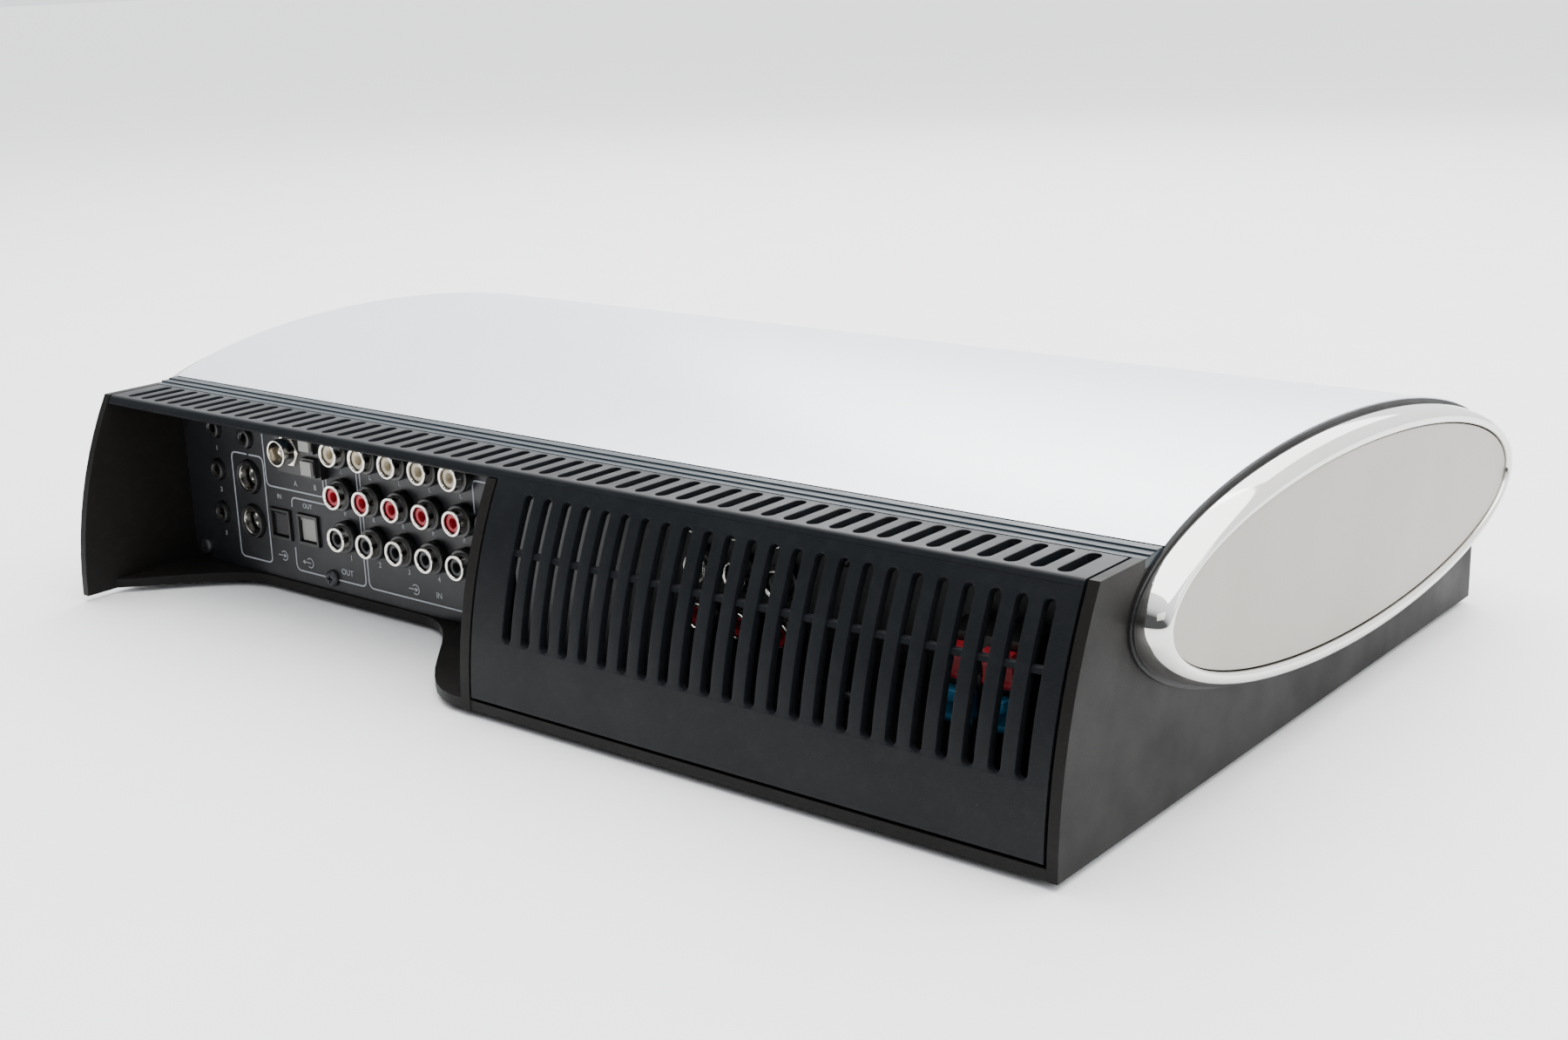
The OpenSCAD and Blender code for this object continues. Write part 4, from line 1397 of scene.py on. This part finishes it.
        slab(x - 7.2, x + 7.5, 2.3)
        slab(x - 16.2, x - 7.5, 3.0)
        for s in (-4.0, 4.0):
            sheet.prism([(x - 15.2, z + s - 3.1), (x - 8.5, z + s - 3.1), (x - 8.5, z + s + 3.1),
                         (x - 15.2, z + s + 3.1)], lambda u, v, d: (u, d, v), (y + 2.9, y + 4.6))
            sheet.prism([(x - 14.4, z + s - 2.3), (x - 9.3, z + s - 2.3), (x - 9.3, z + s + 2.3),
                         (x - 14.4, z + s + 2.3)], lambda u, v, d: (u, d, v), (y + 4.5, y + 5.6),
                        material=2)
        center = (x, y, z)
        sheet.lathe([(3.7, 0.3), (4.5, 0.3), (4.5, 7.7), (4.4, 7.93), (4.2, 8.0), (3.95, 8.0),
                     (3.75, 7.9), (3.7, 7.7), (3.7, 0.3)], center, 48, 1, False)
        sheet.lathe([(4.4, 2.3), (5.6, 2.3), (5.6, 3.3), (5.4, 3.5), (4.4, 3.5), (4.4, 2.3)],
                    center, 6, 1, False)
        sheet.lathe([(0, 0.3), (3.72, 0.3), (3.72, 2.6), (0, 2.6)], center, 40, 0, False)
        sheet.lathe([(0, 2.5), (1.9, 2.5), (1.9, 5.2), (1.7, 5.4), (0, 5.4)], center, 24, 3, False)
        sheet.lathe([(0, 5.3), (0.7, 5.3), (0.7, 6.2), (0.5, 6.4), (0, 6.4)], center, 16, 1, False)
        library = self.kit.library
        add_piece("antenna_skin", sheet.mesh("antenna_skin"),
                  [library["socket_black"], library["nickel"], library["shutter_grey"],
                   library["ivory_plastic"]], CHASSIS, ["antenna_block"])


@dataclass
class PanelPrint:
    """White printed frames and plain signs on the connector panel."""
    kit: Kit
    height: float = 0.05
    line: float = 0.5

    def build(self) -> None:
        """Builds the panel and everything that is printed on it."""
        self.kit.soft("connector_panel", "panel_black", 0.12)
        sheet = Sheet()
        frames = (
            ([(152.0, 46.2), (161.6, 46.2), (161.9, 9.3), (144.9, 9.3), (144.6, 46.2),
              (153.0, 46.2)], 2.4),
            ([(143.6, 64.5), (143.6, 36.8), (113.6, 36.8), (113.6, 43.0)], 2.2),
            ([(112.0, 64.5), (112.0, 34.4), (130.9, 34.4), (131.2, 31.0)], 1.8),
            ([(131.6, 17.0), (131.8, 9.2), (96.3, 9.2), (96.3, 64.5)], 2.4),
            ([(94.7, 64.5), (94.7, 9.2), (29.0, 9.2), (29.0, 18.0)], 2.4),
            ([(41.6, 30.0), (41.6, 52.6), (28.0, 52.6)], 1.6),
        )
        for corners, radius in frames:
            self._ribbon(sheet, self._rounded(corners, radius), self.line)
        for x, z, way in ((124.5, 12.6, 1), (72.0, 12.6, -1), (138.0, 13.0, -1)):
            self._arrow(sheet, x, z, way)
        mesh = sheet.mesh("panel_print", merge=0.0001)
        add_piece("panel_print", mesh, [self.kit.library["print_white"]], CHASSIS)
        self._signs()

    def _at(self, u: float, v: float, d: float) -> Point:
        """Point above the panel's face."""
        return u, PLAN.panel_y + 0.01 + d, v

    @staticmethod
    def _rounded(corners: Sequence[Pair], radius: float) -> list[Pair]:
        """Open path through corners that are rounded.

        Args:
            corners: The corners in order.
            radius: Where the rounding starts, from a corner.

        Returns:
            The points of the path.
        """
        path = [Vector(corners[0])]
        for before, here, after in zip(corners, corners[1:], corners[2:]):
            c, a, b = Vector(here), Vector(before), Vector(after)
            start, end = c + (a - c).normalized() * radius, c + (b - c).normalized() * radius
            for k in range(9):
                t = k / 8
                path.append(start * (1 - t) ** 2 + c * 2 * t * (1 - t) + end * t ** 2)
        path.append(Vector(corners[-1]))
        return [(p.x, p.y) for p in path]

    def _ribbon(self, sheet: Sheet, path: Sequence[Pair], width: float) -> None:
        """Thin line along a path.

        Args:
            sheet: Where its faces go.
            path: Points of the path.
            width: Width of the line.
        """
        left, right = [], []
        for k, point in enumerate(path):
            before, after = path[max(0, k - 1)], path[min(len(path) - 1, k + 1)]
            way = (Vector(after) - Vector(before)).normalized()
            side = Vector((-way.y, way.x)) * width / 2
            left.append((point[0] + side.x, point[1] + side.y))
            right.append((point[0] - side.x, point[1] - side.y))
        top = self.height
        rows = [[self._at(*a, 0.0), self._at(*a, top), self._at(*b, top), self._at(*b, 0.0)]
                for a, b in zip(left, right)]
        sheet.sweep(rows, around=False, closed=True)
        sheet.face(*rows[0])
        sheet.face(*rows[-1])

    def _arrow(self, sheet: Sheet, x: float, z: float, way: int) -> None:
        """Open ring with an arrow that points in or out of it.

        Args:
            sheet: Where its faces go.
            x: Place across.
            z: Height.
            way: 1 for out, -1 for in.
        """
        ring = [(x + 1.6 * math.cos(math.radians(a)), z + 1.6 * math.sin(math.radians(a)))
                for a in range(40, 325, 15)]
        self._ribbon(sheet, ring, 0.3)
        self._ribbon(sheet, [(x - 0.4, z), (x + 3.2, z)], 0.3)
        tip, base = (3.9, 2.7) if way > 0 else (-1.1, 0.1)
        sheet.prism([(x + tip, z), (x + base, z + 0.75), (x + base, z - 0.75)], self._at,
                    (0.0, self.height))

    def _signs(self) -> None:
        """Plain letters and numbers beside the sockets."""
        signs: list[tuple[str, float, float, float]] = []
        for k in range(5):
            x = PLAN.phono_x - k * PLAN.phono_pitch
            signs += [("L", x + 1.0, PLAN.phono_z + 1.5 * PLAN.phono_pitch - 0.6, 2.3),
                      ("R", x + 1.0, PLAN.phono_z + 0.5 * PLAN.phono_pitch - 0.6, 2.3),
                      (str(k + 1), x, PLAN.phono_z - 8.4, 2.6)]
        signs += [("IN", 137.5, 33.0, 2.3), ("OUT", 123.0, 31.6, 2.3), ("OUT", 105.4, 11.6, 2.8),
                  ("IN", 61.0, 11.6, 2.8), ("1", 169.5, 45.6, 2.3), ("2", 169.5, 31.0, 2.3),
                  ("3", 169.5, 15.4, 2.3), ("A", 128.0, 38.6, 2.6), ("B", 118.0, 38.6, 2.6),
                  ("6", 35.2, 47.4, 2.6)]
        sheet = Sheet()
        turn = Matrix(((-1, 0, 0, 0), (0, 0, 1, 0), (0, 1, 0, 0), (0, 0, 0, 1)))
        for text, x, z, size in signs:
            curve = bpy.data.curves.new("sign", "FONT")
            curve.body = text
            curve.size = size * MM
            curve.align_x = "CENTER"
            curve.extrude = self.height / 2 * MM
            carrier = bpy.data.objects.new("sign", curve)
            mesh = bpy.data.meshes.new_from_object(carrier)
            place = Matrix.Translation(Vector((x, PLAN.panel_y + 0.035, z)) * MM)
            mesh.transform(place @ turn)
            sheet.take(mesh)
            bpy.data.objects.remove(carrier)
        mesh = sheet.mesh("panel_signs", merge=0.0001)
        mesh.materials.clear()
        add_piece("panel_signs", mesh, [self.kit.library["print_white"]], CHASSIS)


@dataclass
class Front:
    """Gloss front with its display, buttons and disc tray."""
    kit: Kit
    buttons: tuple[str, ...] = ("standby_button", "source_button", "play_button", "open_button",
                                "volume_down_button", "volume_up_button")
    first_button: float = 92.0
    button_pitch: float = 14.0
    display_y: float = 12.5

    def build(self) -> None:
        """Builds the front pieces."""
        self.kit.soft("front_fascia", "gloss_black", 0.25, sharp=25.0)
        self.kit.soft("display_window", "smoked_window", 0.2, sharp=25.0)
        self.kit.soft("tray_bezel", "gloss_black", 0.25, "disc_tray", sharp=25.0)
        self.kit.soft("disc_tray", "tray_plastic", 0.35, "disc_tray")
        self._display()
        signs = (self._power, self._cycle, self._play, self._eject, self._minus, self._plus)
        for k, (name, sign) in enumerate(zip(self.buttons, signs)):
            self._button(name, self.first_button + self.button_pitch * k, sign())

    def _display(self) -> None:
        """Clock digits of seven segments on the display's glass."""
        node = self.kit.frame["nodes"]["display_board"]
        mesh = softened_mesh(node, "display_skin", 0.15)
        paint(mesh, 1, lambda c: c.y < PLAN.nose_y + self.display_y - 0.1)
        library = self.kit.library
        add_piece("display_skin", mesh, [library["board_green"], library["gloss_black"]],
                  CHASSIS, ["display_board"], weighted=True)
        lit = {"1": "bc", "2": "abged", "0": "abcdef", "3": "abgcd"}
        bars = {"a": (0, 6, 3, 0.6), "b": (1.7, 4.6, 0.6, 2.4), "c": (1.7, 1.6, 0.6, 2.4),
                "d": (0, 0, 3, 0.6), "e": (-1.7, 1.6, 0.6, 2.4), "f": (-1.7, 4.6, 0.6, 2.4),
                "g": (0, 3, 3, 0.6)}
        sheet = Sheet()
        y = PLAN.nose_y + self.display_y - 6.0
        for digit, x in (("1", -146.0), ("2", -139.5), ("3", -131.0), ("0", -124.5)):
            for letter in lit[digit]:
                u, v, w, h = bars[letter]
                self._bar(sheet, x + u, PLAN.nose_z - 3 + v, w, h, y)
        for v in (-1.4, 1.4):
            self._bar(sheet, -135.2, PLAN.nose_z + v, 0.7, 0.7, y)
        add_piece("display_digits", sheet.mesh("display_digits"), [library["glow_segments"]],
                  CHASSIS)

    @staticmethod
    def _bar(sheet: Sheet, x: float, z: float, w: float, h: float, y: float) -> None:
        """Flat bar that faces the front.

        Args:
            sheet: Where its faces go.
            x: Its middle across.
            z: Height of its middle.
            w: Its width.
            h: Its height.
            y: How far back it lies.
        """
        c = min(w, h) * 0.3
        u, v = w / 2, h / 2
        outline = [(-u + c, -v), (u - c, -v), (u, -v + c), (u, v - c), (u - c, v), (-u + c, v),
                   (-u, v - c), (-u, -v + c)]
        sheet.prism([(x + a, z + b) for a, b in outline], lambda p, q, d: (p, d, q),
                    (y - 0.12, y + 0.05))

    def _button(self, node: str, x: float, signs: list[list[Pair]]) -> None:
        """Button with a plain sign printed on its face.

        Args:
            node: Node and body of the button.
            x: Its middle across.
            signs: Outlines of the sign's parts.
        """
        mesh = softened_mesh(self.kit.frame["nodes"][node], node, 0.6, segments=3, sharp=60.0)
        sheet = Sheet()
        for outline in signs:
            sheet.prism([(x + u, PLAN.nose_z + v) for u, v in outline],
                        lambda p, q, d: (p, d, q), (PLAN.nose_y - 0.19, PLAN.nose_y - 0.1))
        whole = Sheet()
        whole.take(mesh, 0)
        whole.take(sheet.mesh("signs"), 1)
        library = self.kit.library
        name = node + "_skin"
        add_piece(name, whole.mesh(name, merge=0.0001),
                  [library["button_plastic"], library["black_plastic"]], node,
                  [node], weighted=True)

    @staticmethod
    def _box(x: float, z: float, w: float, h: float) -> list[Pair]:
        """Outline of an upright box round a middle."""
        return [(x - w / 2, z - h / 2), (x + w / 2, z - h / 2), (x + w / 2, z + h / 2),
                (x - w / 2, z + h / 2)]

    def _power(self) -> list[list[Pair]]:
        """Ring with a gap and a stroke.

        Returns:
            Outlines of the sign.
        """
        arc = [(math.radians(a), r) for r, way in ((1.2, 1), (0.95, -1))
               for a in list(range(125, 416, 29))[::way]]
        return [[(r * math.cos(a), r * math.sin(a)) for a, r in arc], self._box(0, 0.8, 0.26, 1.3)]

    def _cycle(self) -> list[list[Pair]]:
        """Two level strokes."""
        return [self._box(0, 0.7, 2.2, 0.3), self._box(0, -0.7, 2.2, 0.3)]

    def _play(self) -> list[list[Pair]]:
        """Triangle that points right."""
        return [[(-0.9, -1.1), (1.1, 0.0), (-0.9, 1.1)]]

    def _eject(self) -> list[list[Pair]]:
        """Triangle over a stroke."""
        return [[(-1.2, -0.3), (1.2, -0.3), (0.0, 1.1)], self._box(0, -0.9, 2.4, 0.4)]

    def _minus(self) -> list[list[Pair]]:
        """Level stroke."""
        return [self._box(0, 0, 2.2, 0.4)]

    def _plus(self) -> list[list[Pair]]:
        """Level stroke, crossed by an upright one."""
        return [self._box(-0.65, 0, 0.9, 0.4), self._box(0.65, 0, 0.9, 0.4),
                self._box(0, 0, 0.4, 2.2)]


@dataclass
class Base:
    """Dark base with its feet, the trim rail and the screws."""
    kit: Kit
    feet: tuple[Pair, ...] = ((-165, -98), (165, -98), (-165, 100), (165, 78))
    board_screws: tuple[Pair, ...] = ((-172, 34), (-96, 66), (-172, -22), (96, -22),
                                      (172, -22), (180, 34))
    drive_x: Pair = (-80, 80)
    drive_depth: Pair = (34.5, 164.5)
    panel_screws: tuple[Pair, ...] = ((181, 9.5), (112.8, 9.5), (24, 52), (-100, 52),
                                      (-100, 12), (-182, 55))
    board_top: float = 10.6
    drive_top: float = 31.6

    def build(self) -> None:
        """Builds the outer dark pieces."""
        self.kit.soft("base_housing", "charcoal_plastic", 0.3)
        self.kit.soft("trim_rail", "rail_plastic", 0.15)
        self._feet()
        self._screws()

    def _feet(self) -> None:
        """Four round feet as one piece."""
        sheet = Sheet()
        for x, y in self.feet:
            foot = Sheet()
            foot.lathe([(0, 0), (7.3, 0), (7.8, 0.25), (8.0, 0.8), (8.0, 2.0), (0, 2.0)],
                       (0, 0, 0), 48, 0, False)
            mesh = foot.mesh("foot")
            mesh.transform(Matrix.Translation(Vector((x, y, 0)) * MM)
                           @ Matrix.Rotation(math.radians(90), 4, "X"))
            sheet.take(mesh)
        add_piece("feet_skin", sheet.mesh("feet_skin"), [self.kit.library["foot_rubber"]],
                  CHASSIS, ["rubber_feet"])

    @staticmethod
    def _screw() -> bpy.types.Mesh:
        """Pan head with a cross recess and a shank, along +Y from its seat.

        Returns:
            The screw's mesh.
        """
        a, w = 1.4, 0.36
        corners = [(a, -w), (a, w), (w, w), (w, a), (-w, a), (-w, w), (-a, w), (-a, -w),
                   (-w, -w), (-w, -a), (w, -a), (w, -w)]
        cross = []
        for k, corner in enumerate(corners):
            after = corners[(k + 1) % len(corners)]
            cross += [(corner[0] + (after[0] - corner[0]) * t / 3,
                       corner[1] + (after[1] - corner[1]) * t / 3) for t in range(3)]
        rows = []
        for r, h in ((1.4, -3.0), (1.4, 0.0), (2.7, 0.0), (2.8, 0.15), (2.8, 0.6), (2.65, 1.1),
                     (2.3, 1.5), (1.9, 1.7)):
            rows.append([(r * math.cos(math.atan2(v, u)), h, r * math.sin(math.atan2(v, u)))
                         for u, v in cross])
        rows += [[(u, 1.75, v) for u, v in cross], [(u * 0.8, 0.75, v * 0.8) for u, v in cross]]
        sheet = Sheet()
        sheet.sweep(rows, around=False, closed=True)
        sheet.face(*rows[0])
        sheet.face(*rows[-1])
        return sheet.mesh("screw")

    def _screws(self) -> None:
        """All screws as one piece, with those in the panel dark."""
        upright = Matrix.Rotation(math.radians(90), 4, "X")
        places = [(Vector((x, y, self.board_top)), upright) for x, y in self.board_screws]
        places += [(Vector((x, PLAN.nose_y + y, self.drive_top)), upright)
                   for x in self.drive_x for y in self.drive_depth]
        places += [(Vector((x, PLAN.panel_y, z)), Matrix.Identity(4))
                   for x, z in self.panel_screws]
        sheet = Sheet()
        for place, turn in places:
            mesh = self._screw()
            mesh.transform(Matrix.Translation(place * MM) @ turn)
            sheet.take(mesh, 0 if turn == upright else 1)
        library = self.kit.library
        add_piece("screws_skin", sheet.mesh("screws_skin", merge=0.0001),
                  [library["screw_steel"], library["black_alloy"]], CHASSIS,
                  ["case_screws"])


@dataclass
class Inside:
    """Boards, supply, tuner and disc drive."""
    kit: Kit

    def build(self) -> None:
        """Softens the larger pieces and gives the others their finish."""
        for node, slot in (("transformer_core", "dark_steel"), ("transformer_coil", "coil_tape"),
                           ("filter_capacitors", "capacitor_sleeve"),
                           ("tuner_box", "zinc_steel"), ("drive_frame", "zinc_steel")):
            self.kit.soft(node, slot, 0.4)
        for node, body in (("turntable", "turntable"), ("laser_sled", "laser_sled")):
            self.kit.soft(node, "black_plastic", 0.3, body)
        for node, slot in (("key_board", "board_green"), ("main_board", "board_green"),
                           ("heat_sink", "black_alloy"), ("guide_rods", "zinc_steel")):
            materials = self.kit.frame["nodes"][node].data.materials
            materials.clear()
            materials.append(self.kit.library[slot])


# ---------------------------------------------------------------- studio

@dataclass(frozen=True)
class Studio:
    """Camera, lights and floor."""
    place: Point = (-402.6, 478.1, 204.1)
    yaw: float = 39.316
    pitch: float = 15.922
    roll: float = -1.941
    lens: float = 46.098

    def build(self) -> None:
        """Sets the camera, the lights, the world and the floor."""
        self._camera()
        self._world()
        self._light("top", (-0.05, -0.25, 1.25), (0, 0.0, 0.0), (2.2, 1.6), 46.0)
        self._light("back", (-0.75, 1.05, 0.75), (0, 0.05, 0.04), (0.6, 0.4), 1.0)
        self._light("near_end", (-1.3, -0.45, 0.6), (-0.15, 0, 0.04), (0.8, 0.7), 2.0)
        self._light("front", (0.5, -1.3, 0.9), (0, 0, 0.04), (1.2, 0.8), 10.0)
        self._floor()

    def _camera(self) -> None:
        """Camera from behind and to the left."""
        yaw, pitch = math.radians(self.yaw), math.radians(self.pitch)
        ahead = Vector((math.sin(yaw) * math.cos(pitch), -math.cos(yaw) * math.cos(pitch),
                        -math.sin(pitch)))
        right = ahead.cross(Vector((0, 0, 1))).normalized()
        up = right.cross(ahead)
        turn = math.asin(math.sin(math.radians(self.roll)) / up.z)
        right, up = (right * math.cos(turn) + up * math.sin(turn),
                     up * math.cos(turn) - right * math.sin(turn))
        camera = bpy.data.objects.new("camera", bpy.data.cameras.new("camera"))
        camera.data.lens = self.lens
        camera.data.sensor_width = 36.0
        camera.data.clip_start = 0.01
        matrix = Matrix((right, up, -ahead)).transposed().to_4x4()
        matrix.translation = Vector(self.place) * MM
        camera.matrix_world = matrix
        bpy.context.scene.collection.objects.link(camera)
        bpy.context.scene.camera = camera

    @staticmethod
    def _light(name: str, place: Point, target: Point, size: Pair, power: float) -> None:
        """Large soft light.

        Args:
            name: Its name.
            place: Where it is, in metres.
            target: What it points at, in metres.
            size: Its width and height, in metres.
            power: Its power in watts.
        """
        data = bpy.data.lights.new(name, "AREA")
        data.shape = "RECTANGLE"
        data.size, data.size_y = size
        data.energy = power
        light = bpy.data.objects.new(name, data)
        light.location = place
        light.rotation_euler = (Vector(target) - Vector(place)).to_track_quat("-Z", "Y").to_euler()
        bpy.context.scene.collection.objects.link(light)

    @staticmethod
    def _world() -> None:
        """Surroundings that are bright above the front and dark low behind."""
        world = bpy.data.worlds.new("studio")
        bpy.context.scene.world = world
        world.use_nodes = True
        nodes, links = world.node_tree.nodes, world.node_tree.links
        coords = nodes.new("ShaderNodeTexCoord")
        facing = nodes.new("ShaderNodeVectorMath")
        facing.operation = "DOT_PRODUCT"
        facing.inputs[1].default_value = (-0.15, -0.62, 0.77)
        links.new(coords.outputs["Generated"], facing.inputs[0])
        share = nodes.new("ShaderNodeMapRange")
        share.inputs["From Min"].default_value = -1.0
        links.new(facing.outputs["Value"], share.inputs["Value"])
        ramp = nodes.new("ShaderNodeValToRGB")
        links.new(share.outputs["Result"], ramp.inputs["Fac"])
        stops = ramp.color_ramp.elements
        stops[0].position, stops[0].color = 0.0, (0.05, 0.053, 0.056, 1)
        stops[1].position, stops[1].color = 1.0, (1.0, 1.0, 1.0, 1)
        for position, value in ((0.44, 0.06), (0.58, 0.6), (0.75, 0.95)):
            stop = stops.new(position)
            stop.color = (value * 0.97, value, value * 1.03, 1)
        back = nodes["Background"]
        links.new(ramp.outputs["Color"], back.inputs["Color"])
        back.inputs["Strength"].default_value = 2.5

    @staticmethod
    def _floor() -> None:
        """Wide pale floor, which isn't part of the object."""
        sheet = Sheet()
        half, count = 12000.0, 8
        side = 2 * half / count
        for i in range(count):
            for k in range(count):
                x, y = -half + side * i, -half + side * k
                sheet.face((x, y, 0), (x + side, y, 0), (x + side, y + side, 0),
                           (x, y + side, 0))
        mesh = sheet.mesh("floor")
        finish = Finish("floor", (0.92, 0.92, 0.92), 0.6, size=2.0, depth=0.01, mottle=0.01)
        mesh.materials.append(MaterialLibrary.made(finish, "floor_paper"))
        floor = bpy.data.objects.new("floor", mesh)
        bpy.context.scene.collection.objects.link(floor)


# ---------------------------------------------------------------- main


def main() -> None:
    """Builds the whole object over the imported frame."""
    logging.basicConfig(level=logging.INFO, format="%(name)s: %(message)s")
    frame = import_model()
    kit = Kit(frame, MaterialLibrary(FINISHES), row_of_copies(), oval_strip())
    for assembly in (SilverBody(kit), RearCover(kit), Base(kit), PanelPrint(kit),
                     PhonoSockets(kit), OtherSockets(kit), Front(kit), Inside(kit)):
        assembly.build()
        LOG.info("built %s", type(assembly).__name__)
    Studio().build()


if __name__ == "__main__":
    main()
